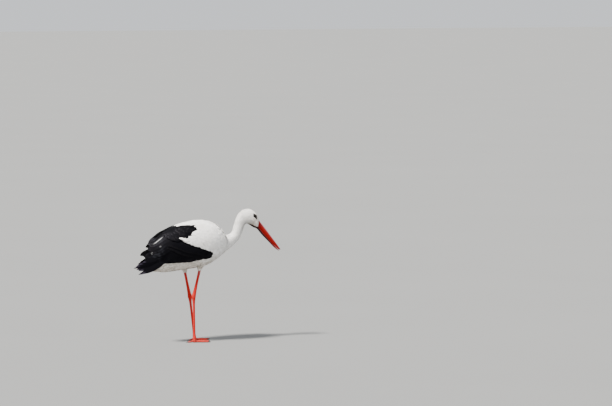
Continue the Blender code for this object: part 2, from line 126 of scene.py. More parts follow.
# Primaries of the near (-1) and the far wing: roots between two points, and a tip for each as x, z.
PRIMARY_ROOTS = {-1: ((-214, 42, 436), (-206, 47, 404)), 1: ((-205, 40, 440), (-200, 46, 412))}
PRIMARY_TIPS = {
    -1: [(-322, 403), (-341, 393), (-356, 384), (-367, 375),
         (-354, 368), (-337, 362), (-347, 344), (-329, 348)],
    1: [(-285, 404), (-300, 397), (-312, 388), (-318, 380),
        (-312, 371), (-304, 364), (-306, 354), (-292, 357)],
}
LEG_SIDE = 43
LEGS = {-1: ((-13, 368), (-49, 225), (-46, 22)), 1: ((-57, 352), (-28, 218), (-4, 22))}
THIGH_TOP = {-1: (18, 440), 1: (-10, 430)}
SHANK_SIZE = (6.6, 5.8)
HEEL_SIZE = (10.5, 8.6)
TARSUS_SIZE = (5.8, 4.9)
TOE_ROOT_SIZE = (7.2, 7.6)
TOES = {"inner": (-28, 62, 5.2), "middle": (1, 77, 5.6), "outer": (30, 68, 5.2), "hind": (187, 34, 4.4)}
HIND_TOE_RISE = 7
CLAW_LENGTH = 11
FLOOR_GAP = 0.05  # between the floor and what stands on it
SIDES = {1: "left", -1: "right"}


# ---------------------------------------------------------------- numbers
def catmull(rows, at):
    """Rows of numbers read at places 0 to len - 1 on a smooth curve, for an array of places."""
    rows, last = np.asarray(rows, float), len(rows) - 1
    at = np.clip(at, 0, last)
    i = np.minimum(at.astype(int), last - 1)
    t = (at - i)[..., None]
    a, b, c, d = (rows[np.clip(i + k, 0, last)] for k in (-1, 0, 1, 2))
    return b + 0.5 * t * (c - a + t * (2 * a - 5 * b + 4 * c - d + t * (3 * (b - c) + d - a)))


def unit(v):
    return v / np.maximum(np.linalg.norm(v, axis=-1, keepdims=True), 1e-12)


def smooth(low, high, x):
    t = np.clip((x - low) / (high - low), 0, 1)
    return t * t * (3 - 2 * t)


def power(value, by):
    return np.sign(value) * np.abs(value) ** by


def seam(rows, x):
    """The turn of a seam in degrees at x."""
    rows = np.asarray(rows[::-1], float)
    return np.interp(x, rows[:, 0], rows[:, 1])


# ---------------------------------------------------------------- places
def neck_point(s, side, z):
    """From (s, side, z) in the plane of neck and head to the working frame."""
    s, side, z = np.broadcast_arrays(*(np.asarray(v, float) for v in (s, side, z)))
    x = NECK_ROOT[0] + s * cos(NECK_TURN) - side * sin(NECK_TURN)
    y = NECK_ROOT[1] + s * sin(NECK_TURN) + side * cos(NECK_TURN)
    return np.stack([x, y, z], -1)


def neck_place(p):
    """From the working frame to (s, side, z) in the plane of neck and head."""
    x, y = p[..., 0] - NECK_ROOT[0], p[..., 1] - NECK_ROOT[1]
    s = x * cos(NECK_TURN) + y * sin(NECK_TURN)
    side = -x * sin(NECK_TURN) + y * cos(NECK_TURN)
    return s, side, p[..., 2]


EYE_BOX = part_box("eye_left")
ROW_X = (EYE_BOX[0].x + EYE_BOX[1].x) / 2 - neck_point(*EYE)[0] * 0.001


def row(p):
    """From the working frame in millimetres to the row frame in metres."""
    return np.asarray(p, float) * 0.001 + (ROW_X, 0, 0)


def work(p):
    return (np.asarray(p, float) - (ROW_X, 0, 0)) * 1000


def outline(x):
    """Top, bottom, half width and fullness of the body's outline at x."""
    xs = np.array([r[0] for r in OUTLINE], float)
    at = np.interp(-np.asarray(x, float), -xs, np.arange(len(xs)))
    return np.moveaxis(catmull([r[1:] for r in OUTLINE], at), -1, 0)


def shifted(x):
    """How much of the far wing's shift a point at x takes."""
    return np.clip((RISE_FROM - x) / RISE_RUN, 0, 1) ** 2


def on_wing(x, turn, lift, side):
    """A point over the body's outline at x and at a turn in degrees from its top."""
    x, turn, lift = np.broadcast_arrays(*(np.asarray(v, float) for v in (x, turn, lift)))
    top, bottom, width, full = outline(x)
    a = np.radians(turn)
    by = np.where(a < pi / 2, full, LOWER_FULL)
    y = (width + lift) * power(np.sin(a), by)
    z = (top + bottom) / 2 + ((top - bottom) / 2 + lift) * power(np.cos(a), by)
    return np.stack([x, side * y, z], -1) + WING_SHIFT[side] * shifted(x)[..., None]


def wing_place(p):
    """x, turn in degrees and share of the radius of points near the outline; the reverse of on_wing."""
    x = p[:, 0]
    z = p[:, 2] - np.where(p[:, 1] > 0, WING_SHIFT[1][2], WING_SHIFT[-1][2]) * shifted(x)
    top, bottom, width, full = outline(x)
    up = (z - (top + bottom) / 2) / ((top - bottom) / 2)
    by = np.where(up > 0, full, LOWER_FULL)
    out, up = power(np.abs(p[:, 1]) / width, 1 / by), power(up, 1 / by)
    return x, np.degrees(np.arctan2(out, up)), np.hypot(out, up)


def under_wing(x, turn, margin=0.0):
    """True where the wing covers the outline, margin degrees inside the wing's rim."""
    between = (turn > seam(WING_TOP, x) + margin) & (turn < seam(WING_LOW, x) - margin)
    return (x < WING_FRONT - margin) & between


def in_wing(p, margin=0.0):
    """True for points under a folded wing, margin degrees inside its rim."""
    x, turn, share = wing_place(p)
    return under_wing(x, turn, margin) & (share > HULL)


def black_at(x, turn):
    """True where the outline carries black feathers."""
    scapular = (x < SCAPULAR_FRONT) & (turn > seam(WING_TOP, x)) & (turn < seam(SCAPULAR_LOW, x))
    flight = (x < BLACK_FRONT) & (turn > seam(COVERT_LOW, x)) & (turn < seam(WING_LOW, x))
    return scapular | flight | ((x < BACK_END) & (turn < seam(WING_LOW, x)))


def in_black(p):
    x, turn, share = wing_place(p)
    return black_at(x, turn) & (share > HULL)


# The middle line of the bird from the head to the tail. Feathers lie along it.
LINE = np.concatenate([
    [neck_point(s, 0, z) for s, z in ((97, 606), (92, 575), (86, 548), (72, 524), (52, 508), (26, 494))],
    [(110, 0, 484), (40, 0, 480), (-50, 0, 474), (-130, 0, 455)],
    [(-200, 0, 425), (-260, 0, 395), (-340, 0, 368)],
])
BILL_ROOT = neck_point(197, 0, 563)
COLLAR_PLACE, BILL_COLLAR = neck_point(186, 0, 572), 17  # where the skin closes on the bill, and its radius
HEAD_REACH = (80, 122)  # from the bill's root: within it feathers lie away from the bill
THIGH_REACH, THIGH_HEIGHT = (16, 34), (372, 395)  # from the thigh's line and over the floor
THIGH_OVER = 20  # how far the thigh's line runs past the solid's end


def beside(p, line):
    """For points and each stretch of a line: the share along it, the distance from it, and the stretches."""
    start, run = line[:-1], np.diff(line, axis=0)
    t = np.clip(((p[:, None] - start) * run).sum(-1) / (run**2).sum(-1), 0, 1)
    return t, np.linalg.norm(p[:, None] - start - t[..., None] * run, axis=-1), run


def run_lengths(points):
    """How far each point of a line lies from its first one."""
    return np.append(0, np.cumsum(np.linalg.norm(np.diff(points, axis=0), axis=1)))


def turned(way, other, share):
    """Directions turned towards another one by a share for each."""
    return unit(share[:, None] * unit(other) + (1 - share[:, None]) * way)


def lie(p):
    """The way the feathers lie at points of the working frame, before it is laid on the skin."""
    _, gap, run = beside(p, LINE)
    weight = 1 / (gap + 4) ** 4
    way = unit((weight[..., None] * unit(run)).sum(1))
    ahead = p - BILL_ROOT
    way = turned(way, ahead, 1 - smooth(*HEAD_REACH, np.linalg.norm(ahead, axis=1)))
    for side in SIDES:
        (ux, uz), (tx, tz) = THIGH_TOP[side], LEGS[side][0]
        thigh = np.array(((ux, side * LEG_SIDE, uz), (tx, side * LEG_SIDE, tz - THIGH_OVER)), float)
        _, gap, run = beside(p, thigh)
        near = (1 - smooth(*THIGH_REACH, gap[:, 0])) * (1 - smooth(*THIGH_HEIGHT, p[:, 2]))
        way = turned(way, run, near)
    return way


# ---------------------------------------------------------------- meshes
def add(name, verts, loops, starts, material, smooth_shade=True):
    """A mesh object from working-frame points and faces given as loops and their starts."""
    me = bpy.data.meshes.new(name)
    me.vertices.add(len(verts))
    me.vertices.foreach_set("co", row(verts).astype(np.float32).ravel())
    me.loops.add(len(loops))
    me.loops.foreach_set("vertex_index", loops.astype(np.int32))
    me.polygons.add(len(starts))
    me.polygons.foreach_set("loop_start", starts.astype(np.int32))
    me.update(calc_edges=True)
    if smooth_shade:
        me.shade_smooth()
    me.materials.append(material)
    ob = bpy.data.objects.new(name, me)
    bpy.context.scene.collection.objects.link(ob)
    return ob


def grid_faces(rows, columns, closed):
    """Quads of a grid of points, row by row."""
    k = np.arange(rows - 1)[:, None] * columns
    j = np.arange(columns if closed else columns - 1)[None]
    n = (j + 1) % columns
    return np.stack([k + j, k + n, k + columns + n, k + columns + j], -1).reshape(-1, 4)


def tube(name, rings, material):
    """A closed tube through rings of points, with a fan at each end."""
    rings = np.asarray(rings, float)
    rows, columns = rings.shape[:2]
    verts = np.vstack([rings.reshape(-1, 3), rings[0].mean(0), rings[-1].mean(0)])
    sides = grid_faces(rows, columns, True)
    j = np.arange(columns)
    n, base, last = (j + 1) % columns, rows * columns, (rows - 1) * columns
    ends = ([n, j, j * 0 + base], [last + j, last + n, j * 0 + base + 1])
    fans = np.concatenate([np.stack(end, -1) for end in ends])
    starts = np.concatenate([np.arange(len(sides)) * 4, sides.size + np.arange(len(fans)) * 3])
    return add(name, verts, np.append(sides, fans), starts, material)


def read(items, key, width, kind=np.float32):
    """One value of each item of a mesh as an array, width numbers each."""
    found = np.empty(len(items) * width, kind)
    items.foreach_get(key, found)
    return found.reshape(-1, width)


def vectors(me, key):
    """The places ("co") or the directions ("normal") of a mesh's vertices."""
    return read(me.vertices, key, 3).astype(float)


def point_value(ob, name, values):
    """A number for each vertex, which materials read by its name."""
    layer = ob.data.attributes.new(name, "FLOAT", "POINT")
    layer.data.foreach_set("value", np.asarray(values, np.float32))


def copies(name, verts, loops, starts, material, smooth_shade=True):
    """A mesh of many pieces with the same faces, from the points of each piece."""
    each, size = np.arange(len(verts))[:, None], verts.shape[1]
    all_loops, all_starts = (each * size + loops).ravel(), (each * len(loops) + starts).ravel()
    return add(name, verts.reshape(-1, 3), all_loops, all_starts, material, smooth_shade)


def uv_map(ob, name, uv):
    """A UV map from one place for each vertex."""
    corners = read(ob.data.loops, "vertex_index", 1, np.int32)[:, 0]
    layer = ob.data.uv_layers.new(name=name)
    layer.uv.foreach_set("vector", np.asarray(uv, np.float32)[corners].ravel())


def keep(ob, *nodes, slot=None):
    """Puts a finished piece on the body, over the CAD nodes that it stands for."""
    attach(ob, BODY)
    if nodes:
        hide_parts(*nodes)
    return ob


# ---------------------------------------------------------------- skin
FLESH = ["trunk", "neck_lower", "neck_upper", "head", "thigh_left", "thigh_right"]
FLESH += ["wing_coverts_left", "wing_coverts_right", "scapulars_left", "scapulars_right"]
VOXEL = 0.003
# Flesh over the hind part of the lower jaw: s, z and radius of balls, and how much wider they are than high.
CHIN = [(146, 572, 7.0), (157, 568.5, 9.0), (169, 564.0, 10.0), (180, 556.5, 8.8)]
CHIN_WIDE = 1.42
FACE_REACH = 20  # how far round the eye the skin is worked in detail
# Height of the lids and of what lies round them over the eye's centre, at distances from its axis.
LID_RINGS = [0, 4.4, 4.9, 5.4, 6.2, 7.0, 7.8, 9.0, 11.0, FACE_REACH]
LID_HEIGHTS = [-4, -2.0, 3.2, 6.0, 6.15, 5.0, 3.5, 2.0, 0.8, 0]
PATCH = (9.0, -13.5)  # from the eye to the front point of the bare skin round it
PATCH_RADIUS = 9.5
# Depth of the coat on the head, and how much more it is below it, on the body, the belly and under the wings.
HEAD_COAT, NECK_COAT, BODY_COAT, BELLY_COAT, WING_COAT = 1.6, 2.4, 2.5, 1.5, 3.0


def coat_depth(p):
    """How far the skin lies under the surface of the feathers."""
    x, _, z = p.T
    depth = HEAD_COAT + NECK_COAT * smooth(585, 560, z)
    depth = depth + BODY_COAT * (smooth(195, 140, x) * smooth(560, 535, z))
    depth = depth + BELLY_COAT * (smooth(420, 375, z) * smooth(130, 90, x))
    root = smooth(BILL_COLLAR, BILL_COLLAR + 12, np.linalg.norm(p - COLLAR_PLACE, axis=1))
    depth = depth * (1 - 0.5 * face_share(p)) * root - 1.1 * (1 - root)  # the skin closes on the bill's root
    place, turn, share = wing_place(p)
    rim = np.minimum(turn - seam(WING_TOP, place), seam(WING_LOW, place) - turn)
    return depth + WING_COAT * (smooth(0, 14, rim) * smooth(WING_FRONT, 60, place) * (share > HULL))


def joined_flesh():
    """The flesh solids in one mesh, with balls that fill the eye sockets and the chin."""
    verts, faces, base = [], [], 0
    for name in FLESH:
        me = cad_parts[name].data
        verts += [tuple(v.co) for v in me.vertices]
        faces += [tuple(base + i for i in f.vertices) for f in me.polygons]
        base = len(verts)
    balls = [(neck_point(EYE[0], side * (EYE[1] - 1.5), EYE[2]), EYE_RADIUS + 0.6, 1) for side in SIDES]
    balls += [(neck_point(s, 0, z), radius, CHIN_WIDE) for s, z, radius in CHIN]
    across = Vector(neck_point(0, 1, 0) - neck_point(0, 0, 0))
    bm = bmesh.new()
    for centre, radius, wide in balls:
        made = bmesh.ops.create_uvsphere(bm, u_segments=24, v_segments=16, radius=radius * 0.001)
        for v in made["verts"]:
            v.co += across * v.co.dot(across) * (wide - 1)
        bmesh.ops.translate(bm, verts=made["verts"], vec=Vector(row(centre)))
    bm.verts.index_update()
    verts += [tuple(v.co) for v in bm.verts]
    faces += [tuple(base + v.index for v in f.verts) for f in bm.faces]
    bm.free()
    me = bpy.data.meshes.new("flesh")
    me.from_pydata(verts, [], faces)
    return me


def applied(ob):
    graph = bpy.context.evaluated_depsgraph_get()
    me = bpy.data.meshes.new_from_object(ob.evaluated_get(graph))
    ob.modifiers.clear()
    ob.data = me
    return me


def largest_piece(me):
    """Drops the small pockets that the remesh leaves between the joined solids."""
    bm = bmesh.new()
    bm.from_mesh(me)
    left, best = set(bm.verts), set()
    while left:
        edge = [left.pop()]
        piece = set(edge)
        while edge:
            vert = edge.pop()
            beyond = {e.other_vert(vert) for e in vert.link_edges} & left
            left -= beyond
            piece |= beyond
            edge += beyond
        best = max(best, piece, key=len)
    bmesh.ops.delete(bm, geom=[v for v in bm.verts if v not in best], context="VERTS")
    bm.to_mesh(me)
    bm.free()


def put_coordinates(me, co):
    me.vertices.foreach_set("co", co.astype(np.float32).ravel())
    me.update()


def eye_frame(side):
    """Centre of an eye and its outward, forward and upward directions in the working frame."""
    centre = neck_point(EYE[0], side * EYE[1], EYE[2])
    out = unit(neck_point(3, side * 20, 1.5) - neck_point(0, 0, 0))
    ahead = unit(neck_point(1, 0, -0.45) - neck_point(0, 0, 0))
    ahead = unit(ahead - out * (ahead @ out))
    return centre, out, ahead, np.cross(out, ahead) * side


def work_lids(me):
    """Presses the eye sockets into the skin and raises the lids round them."""
    co = work(vectors(me, "co"))
    for side in SIDES:
        centre, out, ahead, up = eye_frame(side)
        away = co - centre
        high, along, rise = away @ out, away @ ahead, away @ up
        r = np.hypot(along * 0.93, rise * 1.08 + 0.02 * along**2)
        near = (high > -8) & (r < FACE_REACH)
        target = np.interp(r, LID_RINGS, LID_HEIGHTS)
        share = (1 - smooth(8.0, 12.0, r)) * np.maximum(smooth(-8, -4, high), r < 7.8)
        co[near] += (((target - high) * share)[:, None] * out)[near]
    put_coordinates(me, row(co))


def make_skin(material):
    """One skin over all flesh, set inside the solids by the depth of the coat."""
    ob = bpy.data.objects.new("skin", joined_flesh())
    bpy.context.scene.collection.objects.link(ob)
    remesh = ob.modifiers.new("remesh", "REMESH")
    remesh.mode, remesh.voxel_size = "VOXEL", VOXEL
    soften = ob.modifiers.new("soften", "SMOOTH")
    soften.factor, soften.iterations = 0.5, 10
    me = applied(ob)
    largest_piece(me)
    co, out = vectors(me, "co"), vectors(me, "normal")
    tree = BVHTree.FromPolygons(co.tolist(), [tuple(f.vertices) for f in me.polygons])
    room = [tree.ray_cast(Vector(p - n * 1e-4), Vector(-n))[3] or 0.2 for p, n in zip(co, out)]
    inset = np.minimum(coat_depth(work(co)) * 0.001, 0.3 * np.array(room))  # thin places keep some flesh
    put_coordinates(me, co - out * inset[:, None])
    refine_face(me)
    work_lids(me)
    me.shade_smooth()
    me.materials.append(material)
    p = work(vectors(me, "co"))
    point_value(ob, "black", in_black(p))
    point_value(ob, "bare", bare(p))
    unwrap(ob)
    return ob


def refine_face(me):
    """Divides the skin's faces round the eyes."""
    bm = bmesh.new()
    bm.from_mesh(me)
    for reach in (FACE_REACH, 19, 11):
        edges = set()
        for side in SIDES:
            centre, out, _, _ = eye_frame(side)
            middle = Vector(row(centre + out * 2))
            edges |= {e for e in bm.edges if (e.verts[0].co - middle).length < reach * 0.001}
        bmesh.ops.subdivide_edges(bm, edges=list(edges), cuts=1, use_grid_fill=True, smooth=0.5)
    bmesh.ops.triangulate(bm, faces=[f for f in bm.faces if len(f.verts) > 4])
    bm.to_mesh(me)
    bm.free()


def bare(p):
    """1 on the compact patch of bare black skin round the eye, drawn out a little towards the bill."""
    s, side, z = neck_place(p)
    ahead, up = s - EYE[0], z - EYE[2]
    ring = np.hypot(ahead * 0.95, up * 1.05) - PATCH_RADIUS
    along = np.clip((ahead * PATCH[0] + up * PATCH[1]) / (PATCH[0] ** 2 + PATCH[1] ** 2), -0.55, 1)
    gap = np.hypot(ahead - PATCH[0] * along, up - PATCH[1] * along)
    point = gap - (6.9 - 3.2 * np.maximum(along, 0) + 3.5 * np.minimum(along, 0))
    edge = np.minimum(ring, point) + 0.25 * np.sin(s * 2.1) * np.cos(z * 1.7)
    return smooth(0.6, -0.6, edge) * smooth(14.4, 15.4, np.abs(side)) * (s > 140) * (s < 200) * (z > 575)


def unwrap(ob):
    """Unfolds the skin by its own shape. Each tuft's colours are kept at its root's place on this map."""
    ob.data.uv_layers.new(name="OFBake")
    bpy.context.view_layer.objects.active = ob
    ob.select_set(True)
    bpy.ops.object.mode_set(mode="EDIT")
    bpy.ops.mesh.select_all(action="SELECT")
    bpy.ops.uv.smart_project(angle_limit=radians(66), island_margin=0.002)
    bpy.ops.object.mode_set(mode="OBJECT")
    ob.select_set(False)


TRIAL_AREA = 1.4  # of skin in square mm for each place tried
BESIDE = [(u, v, w) for u in (-1, 0, 1) for v in (-1, 0, 1) for w in (-1, 0, 1)]  # a cell and its neighbours


class Ground:
    """The skin as something feathers are laid on."""

    def __init__(self, ob):
        me = ob.data
        self.co, out = work(vectors(me, "co")), vectors(me, "normal")
        self.faces = [tuple(f.vertices) for f in me.polygons]
        self.tree = BVHTree.FromPolygons(self.co.tolist(), self.faces)
        self.face_no = unit(np.array([out[list(f)].mean(0) for f in self.faces]))
        self.area = np.array([f.area for f in me.polygons])
        uv = read(me.uv_layers["OFBake"].uv, "vector", 2)
        self.face_uv = np.array([uv[f.loop_start : f.loop_start + f.loop_total].mean(0) for f in me.polygons])

    def nearest(self, p):
        """Nearest places on the skin, with its direction outwards and its place on the map there."""
        found = [self.tree.find_nearest(Vector(q)) for q in p]
        index = np.array([f[2] for f in found])
        return np.array([f[0] for f in found]), self.face_no[index], self.face_uv[index]

    def scatter(self, gap_at, where):
        """Places on the skin about gap_at(p) apart, where where(p) is true."""
        count = int(self.area.sum() * 1e6 / TRIAL_AREA)
        pick = rng.choice(len(self.faces), count, p=self.area / self.area.sum())
        open_faces = where(np.array([self.co[list(f)].mean(0) for f in self.faces]))
        pick = pick[open_faces[pick]]
        weight = rng.dirichlet((1, 1, 1), len(pick))
        corner = np.array([self.faces[i][:3] for i in pick]).reshape(-1, 3)
        p = (self.co[corner] * weight[..., None]).sum(1)
        gap = gap_at(p)
        cell = float(gap.max())
        grid, kept = {}, []
        for i, ((x, y, z), r) in enumerate(zip(p.tolist(), gap.tolist())):
            a, b, c = (int(v // cell) for v in (x, y, z))
            held = (o for u, v, w in BESIDE for o in grid.get((a + u, b + v, c + w), ()))
            if not any((x - u) ** 2 + (y - v) ** 2 + (z - w) ** 2 < r * r for u, v, w in held):
                grid.setdefault((a, b, c), []).append((x, y, z))
                kept.append(i)
        return p[kept]


# ---------------------------------------------------------------- vanes
# Outlines of feathers: half width at shares of the length.
CONTOUR = ([0, 0.18, 0.42, 0.66, 0.84, 0.95, 1.0], [0.3, 0.72, 0.96, 1.0, 0.84, 0.5, 0.16])
LANCE = ([0, 0.2, 0.45, 0.7, 0.88, 1.0], [0.45, 0.9, 1.0, 0.72, 0.36, 0.05])
TUFT = ([0, 0.35, 0.7, 1.0], [0.55, 1.0, 0.75, 0.12])
REMEX = ([0, 0.1, 0.28, 0.5, 0.68, 0.82, 0.91, 0.97, 1.0], [0.3, 0.7, 0.95, 1.0, 1.0, 0.95, 0.78, 0.45, 0.12])
POINTED = ([0, 0.1, 0.3, 0.5, 0.68, 0.82, 0.92, 1.0], [0.4, 0.75, 1.0, 0.98, 0.85, 0.62, 0.36, 0.06])
RIM = 0.99  # share of the half width from which a vane's points are its rim
PATCH_SIZE = 0.003  # of a feather on the skin's map


def vanes(name, spine, out, width, shape, material, patch, columns=3, camber=0.22, thick=0.5, fray=0.1,
          sweep=0.3, tint=None, pale=None, bias=0.0):
    """Thin closed feathers along spines of points (feather, step, xyz), with out pointing off the body.

    A vane has columns points across, arched by camber, and a keel thick below its middle. sweep draws
    the rims towards the tip, as barbs run, fray roughens them, and bias moves the shaft off the middle.
    patch is each feather's place on the skin's map. tint and pale are numbers for the materials.
    """
    count, steps = spine.shape[:2]
    t, c = np.linspace(0, 1, steps), np.linspace(-1, 1, columns)
    run = unit(np.gradient(spine, axis=1))
    out = unit(out - (out * run).sum(-1, keepdims=True) * run)
    across = np.cross(out, run)
    half = (np.interp(t, *shape)[None] * np.asarray(width, float).reshape(-1, 1) / 2)[..., None]
    rim, on_rim = np.abs(c) ** 1.5, np.abs(c) > RIM
    rough = 1 + fray * rng.uniform(-1, 1, (count, steps, columns)) * on_rim
    spread = half * (c + bias * (1 - c**2)) * rough
    drop = -camber * half * rim * (1 - 0.6 * t)[None, :, None]
    inner = (np.sin(np.pi * t) ** 0.5)[None, :, None]
    along = sweep * half * rim * inner + fray * half * rng.uniform(-1, 1, rough.shape) * rim
    along *= (1 - 0.8 * (t > 0.99))[None, :, None]
    top = spine[:, :, None] + across[:, :, None] * spread[..., None] + out[:, :, None] * drop[..., None]
    top = top + run[:, :, None] * along[..., None]
    keel = spine - out * (thick + 0.25 * camber * half) + across * (half * bias)
    verts = np.concatenate([top, keel[:, :, None]], 2)  # feather, step, columns + 1, xyz
    ring = columns + 1
    one = grid_faces(steps, ring, True)
    root, tip = np.arange(ring)[::-1], (steps - 1) * ring + np.arange(ring)
    loops = np.concatenate([one.ravel(), root, tip])
    starts = np.concatenate([np.arange(len(one)) * 4, len(one) * 4 + np.array([0, ring])])
    ob = copies(name, verts.reshape(count, -1, 3), loops, starts, material)
    place_u = np.append(c, 0.0)[None, None].repeat(count, 0).repeat(steps, 1)
    place_v = t[None, :, None].repeat(count, 0).repeat(ring, 2)
    on_patch = PATCH_SIZE * 0.5 * np.stack([place_u, place_v * 2 - 1], -1)
    uv_map(ob, "OFBake", (patch[:, None, None] + on_patch).reshape(-1, 2))
    uv_map(ob, "vane", np.stack([place_u, place_v], -1).reshape(-1, 2))
    length = np.linalg.norm(np.diff(spine, axis=1), axis=-1).sum(1)
    values = {"tint": rng.uniform(0, 1, count) if tint is None else tint, "pale": pale, "length": length}
    for key, value in values.items():
        if value is not None:
            point_value(ob, key, np.repeat(value, steps * ring))
    mark_rims(ob, np.tile(np.append(on_rim, False), count * steps))
    return ob


def mark_rims(ob, rim):
    """Keeps the shading of the upper and lower faces of each vane apart along its rims."""
    ends = read(ob.data.edges, "vertices", 2, np.int32)
    sharp = rim[ends].all(1) & (np.abs(ends[:, 0] - ends[:, 1]) > 1)
    ob.data.attributes.new("sharp_edge", "BOOLEAN", "EDGE").data.foreach_set("value", sharp)


TAIL_BASE = -185  # behind it feathers run on past the end of the skin


def march(ground, roots, length, steps, rise, jitter, sag):
    """Spines of feathers that start at roots and follow the lie of the coat over the skin.

    rise is the height over the skin at root and tip, jitter turns feathers out of their order, and sag
    adds a pull to the way of long loose plumes. A feather that runs past an end of the skin goes straight on.
    """
    p, out, patch = ground.nearest(roots)
    turn = rng.normal(0, jitter, len(p))
    ahead = lie(p)
    low, high = rise
    spine, outs = [], []
    step = np.asarray(length, float).reshape(-1, 1) / (steps - 1)
    free = np.zeros((len(p), 1), bool)
    for k in range(steps):
        height = low + (high - low) * (k / (steps - 1)) ** 0.75
        spine.append(p + out * np.reshape(height, (-1, 1)))
        outs.append(out)
        ahead = unit(0.5 * ahead + 0.5 * lie(p))
        if sag is not None:
            ahead = unit(ahead + sag)
        ahead = unit(ahead - (ahead * out).sum(1, keepdims=True) * out)
        if k == 0:
            ahead = unit(ahead + np.cross(out, ahead) * turn[:, None])
        onward = p + ahead * step
        q, q_out, _ = ground.nearest(onward)
        if k == 0:
            first = q_out
        round_end = (q_out * first).sum(1, keepdims=True) < 0.8
        stuck = np.linalg.norm(q - p, axis=1, keepdims=True) < 0.62 * step
        free |= (p[:, :1] < TAIL_BASE) & (round_end | stuck)
        p, out = np.where(free, onward, q), np.where(free, out, q_out)
    return np.stack(spine, 1), np.stack(outs, 1), patch


def straight(root, tip, steps):
    """Straight spines from roots to tips, and the share of the length at each step."""
    t = np.linspace(0, 1, steps)[None, :, None]
    return root[:, None] * (1 - t) + tip[:, None] * t, t


def rooted_vanes(name, ground, spine, out, *shape, **look):
    """Vanes on spines that do not march, their colours kept at their roots' places on the skin's map."""
    _, _, patch = ground.nearest(spine[:, 0])
    return vanes(name, spine, np.broadcast_to(out, spine.shape), *shape, patch, **look)


# ---------------------------------------------------------------- plumage on the skin
SKIN_SIZES = (  # run along the bird's middle line from the head in mm; length, width and gap of feathers
    [0, 31, 60, 88, 113, 143, 180, 250, 340, 450, 560],
    [6.5, 8, 11, 17, 26, 34, 38, 37, 37, 38, 40],
    [2.0, 2.5, 3.5, 5.4, 8.2, 12, 15, 16, 16.5, 17, 17],
    [1.6, 1.85, 2.3, 2.8, 3.6, 4.8, 5.9, 7.0, 7.5, 7.5, 7.5],
)
LENGTH, WIDTH, GAP = 1, 2, 3
HEAD_END, NECK_END = 34, 150  # along the same line
BREAST_RUN = [88, 120, 160, 215]


def run_along(p):
    """How far points lie from the head along the middle line."""
    t, gap, run = beside(p, LINE)
    i = gap.argmin(1)
    return run_lengths(LINE)[i] + t[np.arange(len(p)), i] * np.linalg.norm(run, axis=1)[i]


def face_share(p):
    """1 by the bill, where the feathers are smallest, to 0 at the nape."""
    return 1 - smooth(12, 70, np.linalg.norm(p - BILL_ROOT, axis=1))


def skin_size(p, which):
    return np.interp(run_along(p), SKIN_SIZES[0], SKIN_SIZES[which]) * (1 - 0.5 * face_share(p))


BODY_END = -236  # x behind which the body carries only the tail's coverts
TERTIALS_OVER = 452  # the height over which the tertials cover the end of the back
BELLY_TOP, BELLY_FRONT = 412, 70
UNDER_FRONT = 20  # x where the long loose plumes of the underside begin
THIGH_END_REACH, THIGH_END_RISE = 15, 7  # of the skirts, round the thigh's line and over its lower end
BESIDE_TAIL, BELOW_TAIL = (-246, 35, 384), (-215, 352)  # limits of x, half width and z; of x and z


def thigh_end(p):
    """True round the lower end of a thigh, which carries a skirt of its own."""
    near = np.zeros(len(p), bool)
    for side in SIDES:
        x, z = LEGS[side][0]
        beside_thigh = np.hypot(p[:, 0] - x - 2, p[:, 1] - side * LEG_SIDE) < THIGH_END_REACH
        near |= beside_thigh & (p[:, 2] < z + THIGH_END_RISE)
    return near


def off_limits(p):
    """Where no white feather of the body may lie: within 1.5 degrees of the black and at the thighs' ends."""
    x, turn, share = wing_place(p)
    black = black_at(x, turn) | black_at(x, turn - 1.5) | black_at(x, turn + 1.5)
    return (black & (share > HULL)) | thigh_end(p)


# Skirts of the thighs: radius of the ring of roots, how far the tips hang down, and radius of their ring.
SKIRTS = [(12, 17, 7.3), (17, 11, 8.4), (22, 5, 10.0), (28, -1, 13.0)]


def make_skirts(ground, white):
    """Rings of feathers from the belly down onto the top of each shank."""
    spines, outs = [], []
    for side in SIDES:
        (x, z), (heel_x, heel_z) = LEGS[side][:2]
        for k, (wide, hang, close) in enumerate(SKIRTS):
            count = int(wide * 1.5)
            turn = np.linspace(0, 2 * pi, count, endpoint=False) + 0.4 * k + rng.normal(0, 0.05, count)
            away = np.stack([np.cos(turn), np.sin(turn), 0 * turn], -1)
            root, _, _ = ground.nearest(np.array((x + 2, side * LEG_SIDE, z - 6)) + away * wide)
            hang = hang + rng.normal(0, 1.3, count)
            tip = np.array((x, side * LEG_SIDE, z)) + away * close
            tip[:, 0] += (heel_x - x) / (z - heel_z) * hang
            tip[:, 2] -= hang
            spine, t = straight(root, tip, 7)
            out = unit(away + (0, 0, -0.8))[:, None] + 0 * spine
            spines.append(spine + out * (-0.4 + 1.2 * t + 2.0 * np.sin(pi * t)))
            outs.append(out)
    return rooted_vanes("coat_thigh_skirts", ground, np.concatenate(spines), np.concatenate(outs), 7.5, LANCE,
                        white, thick=0.25, camber=0.2)


def is_head(p):
    return (run_along(p) < HEAD_END) & (bare(p) < 0.35)


def is_neck(p):
    run = run_along(p)
    return (run >= HEAD_END) & (run < NECK_END)


def is_body(p):
    x = p[:, 0]
    under_tertials = (x < BACK_END) & (p[:, 2] > TERTIALS_OVER)
    return (run_along(p) >= NECK_END) & ~in_wing(p, 4) & ~in_black(p) & (x > BODY_END) & ~under_tertials


def is_belly(p):
    return is_body(p) & (p[:, 2] < BELLY_TOP) & (p[:, 0] < BELLY_FRONT)


def is_back(p):
    return is_body(p) & ~is_belly(p)


def is_breast(p):
    """The fore-neck and breast, which carry long plumes."""
    run = run_along(p)
    lower = p[:, 2] < np.interp(run, [85, 113, 143, 190, 240], [540, 500, 478, 470, 450])
    return (run > BREAST_RUN[0]) & (run < BREAST_RUN[-1]) & lower & ~in_wing(p, -8)


